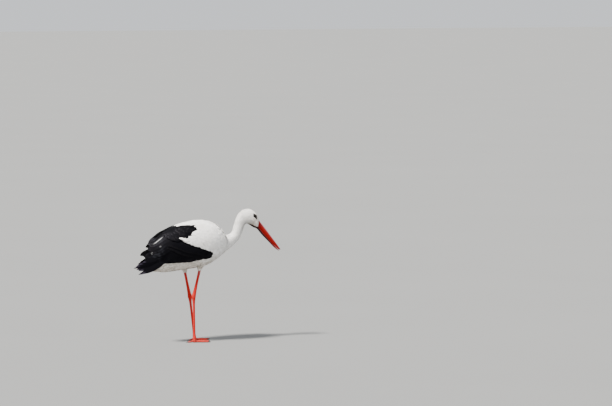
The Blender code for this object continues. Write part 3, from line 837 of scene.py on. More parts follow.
def is_under(p):
    """The belly, flanks and undertail, which carry long loose plumes."""
    x, turn, _ = wing_place(p)
    margin = np.where(x < TAIL_BASE, -6, 10)
    return (x < UNDER_FRONT) & (turn > seam(WING_LOW, x) - margin) & is_body(p)


def overrun(inside, t):
    """By how much too far each feather runs, from what its path at shares t lies inside of."""
    return np.where(inside.any(1), 1 - t[inside.argmax(1)] + rng.normal(0, 0.03, len(inside)), 0)


def held_back(p, ahead, length, mask):
    """Roots moved against the lie so that no feather reaches into a mask, and those that lie outside it."""
    t = np.linspace(0.08, 1, 12)
    path = p[:, None] + ahead[:, None] * np.reshape(length, (-1, 1, 1)) * t[:, None]
    inside = mask(path.reshape(-1, 3)).reshape(len(p), len(t)) > 0.5
    return p - ahead * (overrun(inside, t) * length)[:, None], mask(p) < 0.5


def size_at(p, given, which):
    """A size of feathers at points: the skin's own, one number for all, or a function of the place."""
    if given is None:
        return skin_size(p, which)
    return given(p) if callable(given) else np.full(len(p), float(given))


def coat_piece(ground, material, name, where, shape, columns, steps, rise, length=None, width=None, gap=None,
               jitter=0.1, sag=None, stop=in_black, loose=False, **look):
    """Feathers scattered where where(p) is true, which end before they reach what stop(p) marks."""
    roots = ground.scatter(lambda p: size_at(p, gap, GAP), where)
    size = rng.normal(1, 0.12, len(roots))
    long, wide = size_at(roots, length, LENGTH) * size, size_at(roots, width, WIDTH) * size
    roots, outside = held_back(roots, lie(roots), long, stop)
    roots, long, wide = roots[outside], long[outside], wide[outside]
    low = rise[0] + rng.uniform(-0.15, 0.15, len(roots))
    high = rise[1] * np.maximum(coat_depth(roots), 0.5) * rng.uniform(0.85, 1.1, len(roots))
    spine, out, patch = march(ground, roots, long, steps, (low, high), jitter, sag)
    lies = lies_well(spine, long, loose)
    return vanes(name, spine[lies], out[lies], wide[lies], shape, material, patch[lies], columns, **look)


def lies_well(spine, length, loose):
    """False for feathers that curl up, or stand off the lie where the skin ends."""
    root, tip = spine[:, 0], spine[:, -1]
    stretched = np.linalg.norm(tip - root, axis=1) > 0.8 * length
    along = (unit(tip - root) * lie(root)).sum(1) > 0.72
    x, y, z = tip.T
    beside_tail = (x < BESIDE_TAIL[0]) & ((np.abs(y) > BESIDE_TAIL[1]) | (z > BESIDE_TAIL[2]))
    below_tail = (x < BELOW_TAIL[0]) & (z < BELOW_TAIL[1])
    checked = (root[:, 0] < TAIL_BASE + 30) | loose
    return ~(beside_tail | below_tail) & (~checked | (stretched & along))


def down_breast(*sizes):
    """A size that changes from the fore-neck down to the breast."""
    return lambda p: np.interp(run_along(p), BREAST_RUN, sizes)


# Pieces of the coat: where it grows, outline, columns and steps of its vanes, height of their roots, height
# of their tips as a share of the coat's depth, and the rest by name.
COAT = [
    ("coat_head", is_head, TUFT, 3, 4, (-0.25, 0.8),
     dict(jitter=0.16, thick=0.2, camber=0.3, fray=0.12, stop=bare)),
    ("coat_neck", is_neck, LANCE, 3, 6, (-0.4, 0.9),
     dict(jitter=0.12, thick=0.25, camber=0.2, fray=0.14, stop=bare)),
    ("coat_back", is_back, CONTOUR, 5, 6, (-0.5, 0.85),
     dict(jitter=0.12, thick=0.25, camber=0.14, fray=0.08, stop=off_limits)),
    ("coat_belly", is_belly, CONTOUR, 5, 7, (-0.5, 0.9),
     dict(length=44, width=13, gap=6.6, jitter=0.13, thick=0.25, camber=0.16, fray=0.07, stop=off_limits,
          loose=True)),
    ("coat_breast_plumes", is_breast, LANCE, 3, 9, (0.0, 1.0),
     dict(length=down_breast(24, 46, 62, 56), width=down_breast(4.2, 7.0, 10.0, 11.0),
          gap=lambda p: skin_size(p, GAP) * 1.1, jitter=0.16, sag=(0, 0, -0.12), thick=0.3, camber=0.16,
          fray=0.08)),
    ("coat_under_plumes", is_under, LANCE, 5, 10, (0.0, 1.0),
     dict(length=76, width=10.5, gap=8.4, jitter=0.1, sag=(0, 0, -0.03), thick=0.25, camber=0.16, fray=0.07,
          stop=off_limits, loose=True)),
]


def make_body_coat(ground, white):
    return [coat_piece(ground, white, *piece, **look) for *piece, look in COAT] + [make_skirts(ground, white)]


# ---------------------------------------------------------------- the folded wings
def out_of_wing(x, turn, lift, side):
    ahead = on_wing(x - 1.5, turn, lift, side) - on_wing(x + 1.5, turn, lift, side)
    down = on_wing(x, turn + 1.5, lift, side) - on_wing(x, turn - 1.5, lift, side)
    return unit(np.cross(ahead, down)) * -side


def wing_radius(x):
    top, bottom, width, _ = outline(x)
    return (width + (top - bottom) / 2) / 2


def laid_on_wing(x, turn, tip_x, tip_turn, lift, side, steps, bow=0.0):
    """Spines of feathers from roots to tips given on the outline; lift is (root, tip) over it."""
    t = np.linspace(0, 1, steps)[None]
    x, turn, tip_x, tip_turn = (np.asarray(v, float).reshape(-1, 1) for v in (x, turn, tip_x, tip_turn))
    low, high = (np.asarray(v, float).reshape(-1, 1) for v in lift)
    xs = x + (tip_x - x) * t
    turns = turn + (tip_turn - turn) * t + bow * np.sin(pi * t)
    lifts = low + (high - low) * t**0.8
    return on_wing(xs, turns, lifts, side), out_of_wing(xs, turns, lifts, side)


def rows_of_roots(run, top, low, step, gap):
    """Roots in staggered rows between two seams: x, turn and how far back and down each one lies."""
    found, x, odd = [], run[0], 0
    while x > run[1]:
        share = (run[0] - x) / (run[0] - run[1])
        high, deep = float(seam(top, x)), float(seam(low, x))
        radius = float(wing_radius(np.array(x)))
        pace = np.degrees((gap[0] + (gap[1] - gap[0]) * share) / radius)
        for turn in np.arange(high - 3 + pace * 0.5 * (odd % 2), deep, pace):
            found.append((x, turn, share, (turn - high) / max(deep - high, 1)))
        x -= step[0] + (step[1] - step[0]) * share
        odd += 1
    return np.array(found).T


def tip_of(x, turn, length, slope):
    """Where a feather from x and turn ends, its run sloping down by so many degrees."""
    slope = np.radians(slope)
    radius = wing_radius(x - length * 0.5)
    return x - length * np.cos(slope), turn + np.degrees(length * np.sin(slope) / radius)


def wing_vanes(name, side, ground, roots, tips, lift, width, shape, material, steps, bow=0.0, **look):
    """Vanes laid on the outline, from roots to tips given as (x, turn)."""
    spine, out = laid_on_wing(*roots, *tips, lift, side, steps, bow)
    return rooted_vanes(name + SIDES[side], ground, spine, out, width, shape, material, **look)


# Narrow white feathers that run to a point between the scapulars and the flight feathers: roots and tips.
WEDGE = [
    (-90, 75, -120, 71), (-93, 72, -126, 68), (-96, 69, -132, 65),
    (-100, 67, -138, 62.5), (-104, 66, -142, 61),
]
# Rows of coverts and scapulars: from x to x, steps between rows, and gaps between feathers, first and last.
COVERT_RUN, COVERT_STEP, COVERT_GAP = (84, -139), (7.5, 10.0), (8.0, 11.5)
SCAPULAR_RUN, SCAPULAR_STEP, SCAPULAR_GAP = (-33, -190), (8.0, 20.0), (8.5, 17.0)
# Two rows of black coverts under the white ones: how far below their edge, length, and lift of root and tip.
GREATER_COVERTS = [(3, 50, -6.0, -1.4), (12, 58, -7.5, -3.0)]


def make_coverts(side, ground, white):
    """White lesser and middle coverts, in rows, larger towards the black, their last tips along its edge."""
    top = [r for r in WING_TOP if r[0] > SCAPULAR_FRONT] + SCAPULAR_LOW
    x, turn, back, down = rows_of_roots(COVERT_RUN, top, WING_LOW, COVERT_STEP, COVERT_GAP)
    count, size = len(x), 0.5 * back + 0.5 * down
    x, turn = x + rng.normal(0, 1.6, count), turn + rng.normal(0, 1.0, count)
    length = (24 + 15 * size) * rng.normal(1, 0.09, count)
    tip_x, tip_turn = tip_of(x, turn, length, 14 + 12 * down + rng.normal(0, 4, count))
    t = np.linspace(0.05, 1, 16)
    inside = black_at(x + (tip_x - x) * t[:, None], turn + (tip_turn - turn) * t[:, None])
    over = overrun(inside.T, t)
    shown = ~black_at(x, turn) & (turn < seam(WING_LOW, x)) & (over < 0.96)
    shift, lower = (x - tip_x) * over, (turn - tip_turn) * over
    ends = np.array([x + shift, turn + lower, tip_x + shift, tip_turn + lower])[:, shown]
    size, count = size[shown], shown.sum()
    low, high = rng.normal(-4.4, 0.2, count), rng.normal(-0.7, 0.3, count) - 0.8 * (over[shown] > 0)
    ends = np.append(ends, np.transpose(WEDGE), 1)
    more = np.ones(len(WEDGE))
    lift = (np.append(low, -1.5 * more), np.append(high, 2.0 * more))
    width = np.append(17 + 6 * size, 8.5 * more)
    return wing_vanes("coverts_", side, ground, ends[:2], ends[2:], lift, width, CONTOUR, white, 8,
                      columns=5, camber=0.1, thick=0.25, fray=0.12)


def make_scapulars(side, ground, black):
    """The black scapulars, small and in good order at their front, long and looser behind."""
    low = [(x, turn + 4) for x, turn in SCAPULAR_LOW]
    x, turn, back, down = rows_of_roots(SCAPULAR_RUN, WING_TOP, low, SCAPULAR_STEP, SCAPULAR_GAP)
    count, loose = len(x), np.minimum(back * 5, 1)
    x, turn = x + rng.normal(0, 1.8, count) * loose, turn + rng.normal(0, 1.4, count) * loose
    length = np.interp(back, [0, 0.15, 1], [42, 62, 88]) * rng.normal(1, 0.08, count)
    tip_x, tip_turn = tip_of(x, turn, length, 6 + 15 * down + rng.normal(0, 2, count))
    tip_turn = np.minimum(tip_turn, seam(SCAPULAR_LOW, tip_x) - 1)
    tip_turn = np.where(tip_x > BACK_END, np.maximum(tip_turn, seam(WING_TOP, tip_x) + 5), tip_turn)
    shown = tip_x > -np.interp(tip_turn, [8, 46, 62], [232, 204, 180])
    ends, count = np.array([x, turn, tip_x, tip_turn])[:, shown], shown.sum()
    lift = (rng.normal(-3.2, 0.3, count), rng.normal(1.5, 0.35, count) + 0.5 * side)
    width = np.interp(back[shown], [0, 0.12, 0.3, 1], [16, 21, 28, 34])
    return wing_vanes("scapulars_", side, ground, ends[:2], ends[2:], lift, width, CONTOUR, black, 12,
                      columns=7, camber=0.1, thick=0.4, fray=0.025)


def make_greater_coverts(side, ground, black):
    """Black coverts in two rows under the white ones, from the blunt front end of the black."""
    rows, front = [], BLACK_FRONT + 12
    for drop, length, low, high in GREATER_COVERTS:
        x = np.arange(front, -146, -7.0)
        share = (front - x) / 190
        turn = seam(COVERT_LOW, x) + drop * (1 - 0.5 * share)
        tip_x, tip_turn = tip_of(x, turn, length * (0.8 + 0.3 * share), 24 - 8 * share)
        tip_turn = np.minimum(tip_turn, seam(WING_LOW, tip_x) - 5)
        rows.append((x, turn, tip_x, tip_turn, 0 * x + low, 0 * x + high))
    # Short ones that close the front end.
    turn = np.arange(106, 118, 3.0)
    x = BLACK_FRONT + 7 - 0.1 * (turn - 112) ** 2
    rows.append((x, turn, x - 40, turn + 7 - 0.2 * (turn - 106), 0 * x - 6.0, 0 * x - 0.8))
    *ends, low, high = (np.concatenate(v) for v in zip(*rows))
    lift = (low + rng.normal(0, 0.15, len(low)), high + rng.normal(0, 0.25, len(low)))
    return wing_vanes("greater_coverts_", side, ground, ends[:2], ends[2:], lift, 18.0, CONTOUR, black, 9,
                      columns=5, camber=0.12, thick=0.5, fray=0.03)


# Secondaries from the outermost, lowest one to the innermost: x and turn of roots and tips.
SECONDARY_ROOTS = [(36, 112), (4, 108), (-36, 103), (-78, 95), (-108, 88), (-130, 79), (-150, 70)]
SECONDARY_TIPS = {
    -1: [(-112, 123), (-176, 120), (-236, 119), (-282, 119), (-299, 104), (-305, 88), (-303, 74)],
    1: [(-112, 123), (-176, 120), (-226, 119), (-256, 116), (-270, 104), (-284, 92), (-303, 81)],
}
SECONDARY_COUNT = 15
TERTIAL_ROOTS = [(-150, 68), (-142, 60), (-134, 50), (-130, 38), (-130, 24), (-132, 8)]
TERTIAL_TIPS = [(-252, 84), (-272, 72), (-284, 58), (-287, 42), (-283, 26), (-275, 9)]
TERTIAL_COUNT = 7
# Its outer edge is silvery and carries a painted highlight streak.
STREAKED = 5  # the tertial that shows a silvery outer edge
FAR_TERTIALS = 22  # how much sooner those of the far wing end
PRIMARY_SIDES = ([0, 0.45, 1], [37, 34, 46])  # how far aside the tips are, from the first to the last
PRIMARY_DEPTHS = [5.0, 3.4, 1.8, 0, -1.6, -0.6, 1.8, 3.4]  # how far out each one lies beside its neighbours


def make_secondaries(side, ground, black):
    at = np.linspace(0, len(SECONDARY_ROOTS) - 1, SECONDARY_COUNT)
    roots, tips = catmull(SECONDARY_ROOTS, at).T, catmull(SECONDARY_TIPS[side], at).T
    share = at / at.max()
    tips[0] += rng.normal(0, 3, len(at)) * share
    lift = (-9.0 + 3.0 * share, -7.5 + 4.5 * share)
    return wing_vanes("secondaries_", side, ground, roots, tips, lift, 31 - 4 * share, REMEX, black, 18,
                      bow=(3.5 * (1 - share))[:, None], columns=7, camber=0.08, thick=0.5, fray=0.012,
                      sweep=0.25, bias=-0.2 * side, tint=rng.permutation(share), pale=0 * share)


def make_tertials(side, ground, black):
    at = np.linspace(0, len(TERTIAL_ROOTS) - 1, TERTIAL_COUNT)
    roots, tips = catmull(TERTIAL_ROOTS, at).T, catmull(TERTIAL_TIPS, at).T
    tips[0] += FAR_TERTIALS * (side > 0) + rng.normal(0, 3, len(at))
    share = at / at.max()
    lift = (-5.5 + 2.5 * share, -2.0 + 2.6 * share + 0.6 * side)
    return wing_vanes("tertials_", side, ground, roots, tips, lift, 40 - 4 * share, REMEX, black, 18,
                      columns=9, camber=0.1, thick=0.5, fray=0.012, sweep=0.25, tint=rng.permutation(share),
                      pale=(np.arange(TERTIAL_COUNT) == STREAKED) * (1.0 if side < 0 else 0.0))


def make_primaries(side, ground, black):
    """Eight primaries; the inner, shorter ones lie outside the longer ones, their tips stepping back."""
    share = np.linspace(0, 1, len(PRIMARY_DEPTHS))[:, None]
    root_a, root_b = (np.array(r, float) for r in PRIMARY_ROOTS[side])
    root = (root_a * (1 - share) + root_b * share) * (1, side, 1)
    x, z = np.array(PRIMARY_TIPS[side], float).T
    tip = np.stack([x, side * np.interp(share[:, 0], *PRIMARY_SIDES), z], -1)
    depth = np.array(PRIMARY_DEPTHS) * side
    root[:, 1] += depth
    tip[:, 1] += depth * 0.7
    spine, t = straight(root, tip, 15)
    spine[..., 2] -= 5 * np.sin(pi * t[..., 0])
    return rooted_vanes("primaries_" + SIDES[side], ground, spine, unit(np.array((0.05, side, 0.25))), 22.0,
                        POINTED, black, columns=7, camber=0.1, thick=0.6, fray=0.015, bias=0.25 * side,
                        tint=rng.permutation(share[:, 0]))


# The tail: how many feathers, x and z of the middle root and tip, and the space between tips.
TAIL_COUNT, TAIL_ROOT, TAIL_TIP, TAIL_GAP = 12, (-165.0, 414), (-330, 370.5), 5.4


def make_tail(ground, white):
    """Twelve tail feathers, closed over each other, the middle ones on top."""
    off = np.arange(TAIL_COUNT) - (TAIL_COUNT - 1) / 2
    from_middle, y = np.abs(off), off * TAIL_GAP
    root = np.stack([TAIL_ROOT[0] + 0 * y, y * 0.5, TAIL_ROOT[1] - from_middle * 1.4], -1)
    tip = np.stack([TAIL_TIP[0] + from_middle * 1.2, y, TAIL_TIP[1] - from_middle * 0.9], -1)
    spine, t = straight(root, tip, 12)
    spine[..., 2] -= 3 * np.sin(pi * t[..., 0])
    return rooted_vanes("tail", ground, spine, unit(np.array((-0.2, 0, 1.0))), 20.0, REMEX, white,
                        columns=5, camber=0.1, thick=0.6, fray=0.02)


# Tail coverts: x and z of the first row, steps to the next, rows, run, length, half width, side of the tail.
TAIL_COVERTS = [
    ((-240, 438), (-1, -6.5), 7, (-0.82, 0, -0.45), 40, 26, 1),
    ((-205, 356), (-7, 5.0), 7, (-0.97, 0, 0.10), 56, 34, -1),
]


def make_tail_coverts(ground, white):
    """Rows of white feathers from the end of the body onto the root of the tail, over it and under it."""
    spines, outs = [], []
    slope = (TAIL_ROOT[1] - TAIL_TIP[1]) / (TAIL_ROOT[0] - TAIL_TIP[0])
    for (x, z), (step_x, step_z), rows, run, length, wide, face in TAIL_COVERTS:
        for k in range(rows):
            y = np.arange(-wide + 4 * (k % 2), wide + 1, 8.0)
            root, _, _ = ground.nearest(np.stack([0 * y + x + k * step_x, y, 0 * y + z + k * step_z], -1))
            tip = root + unit(np.array(run)) * length * rng.normal(1, 0.05, (len(y), 1))
            tip[:, 1] *= 0.94
            tail_z = TAIL_ROOT[1] + (tip[:, 0] - TAIL_ROOT[0]) * slope - 0.16 * np.abs(tip[:, 1])
            tip[:, 2] = face * np.maximum(face * tip[:, 2], face * tail_z + 2.5)
            spine, t = straight(root, tip, 9)
            out = unit(np.array((-0.3, 0, 1.0 * face)))
            spines.append(spine + out * (4 * np.sin(pi * t) - 1.5 * (1 - t)))
            outs.append(out + 0 * spine)
    return rooted_vanes("coat_tail_coverts", ground, np.concatenate(spines), np.concatenate(outs), 15.0,
                        CONTOUR, white, columns=5, camber=0.16, thick=0.3, fray=0.08)


# ---------------------------------------------------------------- bill and eyes
def bill_rings(stations, rings, count, edge, ridge, ahead):
    """Rings of a jaw, narrowed to a blunt ridge on one side and full and flat along the cutting edge.

    edge is -1 where the cutting edge is below and 1 where it is above, moved ahead mm towards the other jaw.
    """
    rows = [(*a, *b, width) for a, b, width in stations]
    at = np.linspace(0, len(rows) - 1, rings)
    s0, z0, s1, z1, width = catmull(rows, at).T[:, :, None]
    a = np.linspace(0, 2 * pi, count, endpoint=False)[None]
    up = np.cos(a)
    flat = np.clip(up * edge, 0, 1)
    level = power(up, 1 - 0.45 * flat)
    side = power(np.sin(a), 0.92 - 0.42 * flat) * (1 - ridge * np.clip(-up * edge, 0, 1) ** 1.3)
    grown = 1 + np.where(flat > 0, 2 * ahead / np.hypot(s0 - s1, z0 - z1), 0)
    s = (s0 + s1) / 2 + (s0 - s1) / 2 * level * grown
    z = (z0 + z1) / 2 + (z0 - z1) / 2 * level * grown
    return s, side * width, z, np.broadcast_to(up * edge, s.shape), at / at.max()


def jaw(name, points, horn, along, towards, slit, lower):
    """A jaw through rings of points, with the values that its material reads."""
    ob = tube(name, points, horn)
    values = {"along": np.repeat(along, points.shape[1]), "edge": towards.ravel(), "slit": slit.ravel()}
    for key, found in values.items():
        point_value(ob, key, np.append(found, (found[0], found[-1])))
    point_value(ob, "lower", np.full(len(ob.data.vertices), float(lower)))
    return ob


NOSTRIL = (203, 562)  # s and z behind its slit
BILL_RUN = (0.62, -0.78)  # the way of the bill in the plane of neck and head
LIP = 1.25  # how far each jaw's cutting edge reaches towards the other


def make_bill(horn):
    s, side, z, towards, along = bill_rings(BILL_UPPER, 130, 48, -1, 0.3, LIP)
    # The nostril is a slit in a shallow groove.
    ahead, up = s - NOSTRIL[0], z - NOSTRIL[1]
    run, off = ahead * BILL_RUN[0] + up * BILL_RUN[1], up * BILL_RUN[0] - ahead * BILL_RUN[1]
    groove = np.exp(-(((run - 7) / 15) ** 2) - (off / 2.4) ** 2)
    slit = np.exp(-(((run - 3) / 5.5) ** 4) - (off / 0.95) ** 2)
    points = neck_point(s, side * (1 - 0.06 * groove - 0.14 * slit), z)
    keep(jaw("bill_upper_horn", points, horn, along, towards, slit, 0), "bill_upper", slot="bill_horn")
    s, side, z, towards, along = bill_rings(BILL_LOWER, 120, 44, 1, 0.26, LIP)
    # Its hind part lies under the feathers of the chin.
    points = neck_point(s, side * (1 - 0.32 * smooth(0.37, 0.2, along)[:, None]), z)
    keep(jaw("bill_lower_horn", points, horn, along, towards, 0 * s, 1), "bill_lower", slot="bill_horn")


def make_eyes(material):
    rings, count, size = 40, 48, EYE_RADIUS - 0.1
    polar = np.linspace(0.02, pi - 0.02, rings)[:, None]
    a = np.linspace(0, 2 * pi, count, endpoint=False)[None]
    radius = size * (1 + 0.035 * np.exp(-((polar / 0.45) ** 2)))  # the cornea stands a little proud
    high, flat = (radius * np.cos(polar) * np.ones_like(a))[..., None], radius * np.sin(polar)
    fore, rise = (flat * np.cos(a))[..., None], (flat * np.sin(a))[..., None]
    for side, word in SIDES.items():
        centre, out, ahead, up = eye_frame(side)
        ob = tube("eyeball_" + word, centre + high * out + fore * ahead + rise * up * side, material)
        point_value(ob, "off_axis", np.append(np.repeat(np.sin(polar[:, 0]) * size, count), (0, 0)))
        point_value(ob, "front", np.append(np.repeat((polar[:, 0] < pi / 2) * 1.0, count), (1, 0)))
        keep(ob, "eye_" + word, slot="eye")


# ---------------------------------------------------------------- legs and feet
ACROSS, UP = np.array((0.0, 1, 0)), np.array((0.0, 0, 1))


def above(p, height):
    """Points lifted to at least a height over the floor."""
    return np.maximum(p, (-np.inf, -np.inf, height))


def limb(rows, per_row, count, across, front=None):
    """Rings of a limb; rows are centre, half size along front and half size along across."""
    at = np.linspace(0, len(rows) - 1, (len(rows) - 1) * per_row + 1)
    values = catmull(rows, at)[:, None]
    centre, fore, wide = values[..., :3], values[..., 3:4], values[..., 4:5]
    run = unit(np.gradient(centre[:, 0], axis=0))
    up = (unit(np.cross(across, run)) if front is None else np.broadcast_to(front, run.shape))[:, None]
    a = np.linspace(0, 2 * pi, count, endpoint=False)[None, :, None]
    return centre + up * fore * np.cos(a) + across * wide * np.sin(a)


SCALE_LIFT = 0.32  # of a scale's flat top over the leg


def scales(rings, size, material, shown, floor=-np.inf):
    """Six-sided plates over a tube of rings, in staggered rows, each a low closed mound.

    shown is the share of the tube's length where they start and end, and floor the least height of a point.
    """
    middle, count = rings.mean(1), rings.shape[1]
    length = run_lengths(middle)
    girth = np.linalg.norm(np.diff(rings, axis=1, append=rings[:, :1]), axis=2).sum(1)
    closed = np.concatenate([rings, rings[:, :1]], 1)
    steps = np.arange(len(length))

    def surface(u, v):
        """The point at u mm along the tube and a share v round it."""
        i = np.clip(np.interp(u, length, steps), 0, len(length) - 1.001)
        j = (v % 1) * count
        i0, j0 = i.astype(int), np.minimum(j.astype(int), count - 1)
        a, b = (i - i0)[..., None], (j - j0)[..., None]
        low = closed[i0, j0] * (1 - b) + closed[i0, j0 + 1] * b
        high = closed[i0 + 1, j0] * (1 - b) + closed[i0 + 1, j0 + 1] * b
        return low * (1 - a) + high * a

    places, u, odd = [], length[-1] * shown[0], 0
    while u < length[-1] * shown[1]:
        around = max(int(round(np.interp(u, length, girth) / size)), 5)
        places += [(u, v, 1 / around) for v in (np.arange(around) + 0.5 * (odd % 2)) / around]
        u += size * 0.86
        odd += 1
    u, v, pace = np.array(places).T[:, :, None]
    u = u + rng.normal(0, size * 0.04, u.shape)
    turn = np.radians(np.arange(6) * 60 + 30)[None]

    def corners(share, lift):
        """The six corners of every plate at a share of its size, lifted off the tube's middle line."""
        p = surface(u + np.sin(turn) * size * 0.56 * share, v + np.cos(turn) * pace * 0.56 * share)
        k = np.clip(np.interp(u, length, steps), 0, len(length) - 1)[..., 0]
        axis = np.stack([np.interp(k, steps, middle[:, c]) for c in range(3)], -1)[:, None]
        return p + unit(p - axis) * lift

    verts = np.concatenate([corners(1.0, -0.12), corners(0.66, SCALE_LIFT), corners(0.0, -0.9)[:, :1]], 1)
    j = np.arange(6)
    n = (j + 1) % 6
    sides, under = np.stack([j, n, n + 6, j + 6], -1), np.stack([n, j, j * 0 + 12], -1)
    loops = np.concatenate([sides.ravel(), j + 6, under.ravel()])
    starts = np.concatenate([j * 4, [24], 30 + j * 3])
    ob = copies("scales", above(verts, floor), loops, starts, material, smooth_shade=False)
    point_value(ob, "tint", np.repeat(rng.uniform(0, 1, len(verts)), 13))
    return ob


def join(name, pieces):
    first = pieces[0]
    with bpy.context.temp_override(active_object=first, selected_editable_objects=pieces, object=first):
        bpy.ops.object.join()
    first.name = name
    return first


def leg_rows(side):
    """Sections of a leg from inside the thigh to the foot: centre and half sizes."""
    y = side * LEG_SIDE
    (tx, tz), (hx, hz), (fx, fz) = LEGS[side]
    rows = [(tx + 0.3 * (tx - hx), y, tz + 40, *SHANK_SIZE)]
    for t, size in ((0, 1), (0.5, 0.95), (0.85, 1.25)):
        rows.append((tx + (hx - tx) * t, y, tz + (hz - tz) * t, SHANK_SIZE[0] * size, SHANK_SIZE[1] * size))
    rows.append((hx, y, hz, *HEEL_SIZE))
    for t, size in ((0.08, 1.35), (0.2, 1.0), (0.6, 0.93), (0.88, 1.0)):
        rows.append((hx + (fx - hx) * t, y, hz + (fz - hz) * t, TARSUS_SIZE[0] * size, TARSUS_SIZE[1] * size))
    return rows + [(fx, y, fz, *TOE_ROOT_SIZE)]


def toe_rows(side, toe):
    """Sections of a toe, the way it points and the way across it."""
    degrees, length, radius = TOES[toe]
    (x, _), y = LEGS[side][2], side * LEG_SIDE
    turn = side * radians(degrees)
    ahead = np.array((cos(turn), sin(turn), 0))
    rows = []
    for t in (*np.linspace(0, 0.96, 10), 0.985, 1.0):
        joint = 1 + 0.075 * cos(2 * pi * t * 3)  # pads under the bones, thinner at the joints
        tip = {0.985: 0.86, 1.0: 0.62}.get(t, 1.0)
        thick = radius * (1 - 0.36 * t) * joint
        rise = HIND_TOE_RISE * max(0, 1 - 1.6 * t) if toe == "hind" else 3 * max(0, 0.3 - t)
        point = np.array((x + 1, y, 0)) + ahead * length * t
        rows.append((*point[:2], 0.84 * thick + rise, thick * tip, thick * 1.06 * tip))
    return rows, ahead, np.array((-ahead[1], ahead[0], 0))


def claw_rows(side, toe, ahead):
    """A short blunt claw, arched, its root inside the end of the toe and its point on the floor."""
    _, length, radius = TOES[toe]
    root = np.array((LEGS[side][2][0] + 1, side * LEG_SIDE, 0.0)) + ahead * (length - 3.0)
    rows = []
    for t in np.linspace(0, 1, 9):
        thick = max(radius * 0.50 * (1 - t**1.7) ** 0.75, 0.3)
        point = root + ahead * (CLAW_LENGTH + 2.7) * t
        rows.append((*point[:2], max(radius * (0.66 + 0.22 * t - 0.80 * t**2), 0.35), thick, thick * 0.95))
    return rows


def make_leg(side, red, plate, claw):
    """The skin, the scales and the claws of a leg."""
    word = SIDES[side]
    rings, sole = limb(leg_rows(side), 10, 28, ACROSS), limb(pad_rows(side), 5, 28, ACROSS)
    parts = [tube("leg_skin", rings, red), tube("pad", above(sole, FLOOR_GAP), red)]
    plates = [scales(rings, 2.7, plate, (0.12, 1)), scales(above(sole, 0.4), 2.6, plate, (0, 0.8), floor=0.1)]
    for toe in TOES:
        rows, ahead, across = toe_rows(side, toe)
        ring = above(limb(rows, 5, 20, across, UP), FLOOR_GAP)
        parts.append(tube("toe", ring, red))
        plates.append(scutes(ring, plate))
        hook = above(limb(claw_rows(side, toe, ahead), 4, 18, across, UP), FLOOR_GAP)
        ob = tube(f"claw_{toe}_{word}_horn", hook, claw)
        point_value(ob, "along", np.append(np.repeat(np.linspace(0, 1, len(hook)), 18), (0, 1)))
        keep(ob, f"claw_{toe}_{word}", slot="claw_horn")
    skin = join("leg_skin_" + word, parts + webs(side, red))
    keep(skin, "shank_" + word, "tarsus_" + word, "foot_" + word, slot="leg_skin")
    keep(join("leg_scales_" + word, plates), slot="leg_skin")


def pad_rows(side):
    """Sections of the pad under the roots of the toes."""
    (x, z), y = LEGS[side][2], side * LEG_SIDE
    rows = [(x, y, z + 9, 6.0, 5.8), (x + 0.2, y, z + 2, 7.5, 7.8), (x + 1, y, z * 0.6, 8.3, 8.9)]
    return rows + [(x + 2, y, 4, 9.5, 10.5), (x + 2.5, y, 0.4, 8.5, 9.5)]


# A plate of a toe: run and lift of its four edges, degrees from the toe's top to its ends, and the next one.
SCUTE, SCUTE_END, SCUTE_GAP = [(-0.3, -0.2), (0.0, 0.34), (1.5, 0.42), (2.5, 0.12)], 78, 2.6


def scutes(ring, material):
    """A row of broad plates across the top of a toe, each overlapping the next."""
    length, count = run_lengths(ring.mean(1)), ring.shape[1]
    run, lift = np.array(SCUTE).T
    at = np.interp(np.arange(7.0, length[-1] - 1, SCUTE_GAP)[:, None] + run, length, np.arange(len(length)))
    i = np.minimum(at.astype(int), len(length) - 2)
    part = (at - i)[..., None, None]
    band = ring[i] * (1 - part) + ring[i + 1] * part  # plate, edge, round the toe, xyz
    turns = np.radians(np.linspace(-SCUTE_END, SCUTE_END, 9))
    at = (turns % (2 * pi)) / (2 * pi) * count
    j = at.astype(int)
    part = (at - j)[:, None]
    p = band[:, :, j % count] * (1 - part) + band[:, :, (j + 1) % count] * part
    raised = np.where(np.abs(turns) > radians(70), -0.35, lift[:, None])
    top = p + unit(p - band.mean(2, keepdims=True)) * raised[..., None]
    plates, a, b = top.shape[:3]
    inner = top.mean((1, 2), keepdims=True) * 0.5 + top * 0.5
    rim = [*range(b), *(i * b + b - 1 for i in range(1, a)), *((a - 1) * b + j for j in range(b - 2, -1, -1))]
    rim = np.array(rim + [i * b for i in range(a - 2, 0, -1)])
    walls = np.stack([np.roll(rim, -1), rim, rim + a * b, np.roll(rim, -1) + a * b], -1)
    faces = grid_faces(a, b, False)
    faces = np.concatenate([faces, faces[:, ::-1] + a * b, walls])
    verts = np.concatenate([top.reshape(plates, -1, 3), inner.reshape(plates, -1, 3)], 1)
    ob = copies("scutes", verts, faces.ravel(), np.arange(len(faces)) * 4, material)
    point_value(ob, "tint", np.repeat(rng.uniform(0, 1, plates), 2 * a * b))
    return ob


# Webs between the front toes: which, and the share of their length that a web reaches.
WEBS = [("inner", "middle", 0.24), ("middle", "outer", 0.36)]


def webs(side, red):
    """The small webs between the roots of the front toes."""
    made = []
    for first, second, reach in WEBS:
        a, b = (np.array(toe_rows(side, toe)[0]) for toe in (first, second))
        rings = []
        for t in np.linspace(0, reach, 10):
            p, q = (catmull(rows, np.array([t * (len(rows) - 1)]))[0] for rows in (a, b))
            w = np.linspace(0, 1, 11)[:, None]
            line = p[:3] * (1 - w) + q[:3] * w
            back = unit(a[0, :2] - (p + q)[:2] / 2)
            line[:, :2] += np.sin(pi * w) * (t / reach) ** 2 * 9 * back
            line[:, 2] = 0.42 * (p[3] + q[3]) * (0.55 + 0.45 * np.abs(2 * w[:, 0] - 1))
            rings.append(np.concatenate([line, line[::-1] - (0, 0, 1.3)]))
        made.append(tube("web", above(rings, 0.1), red))
    return made


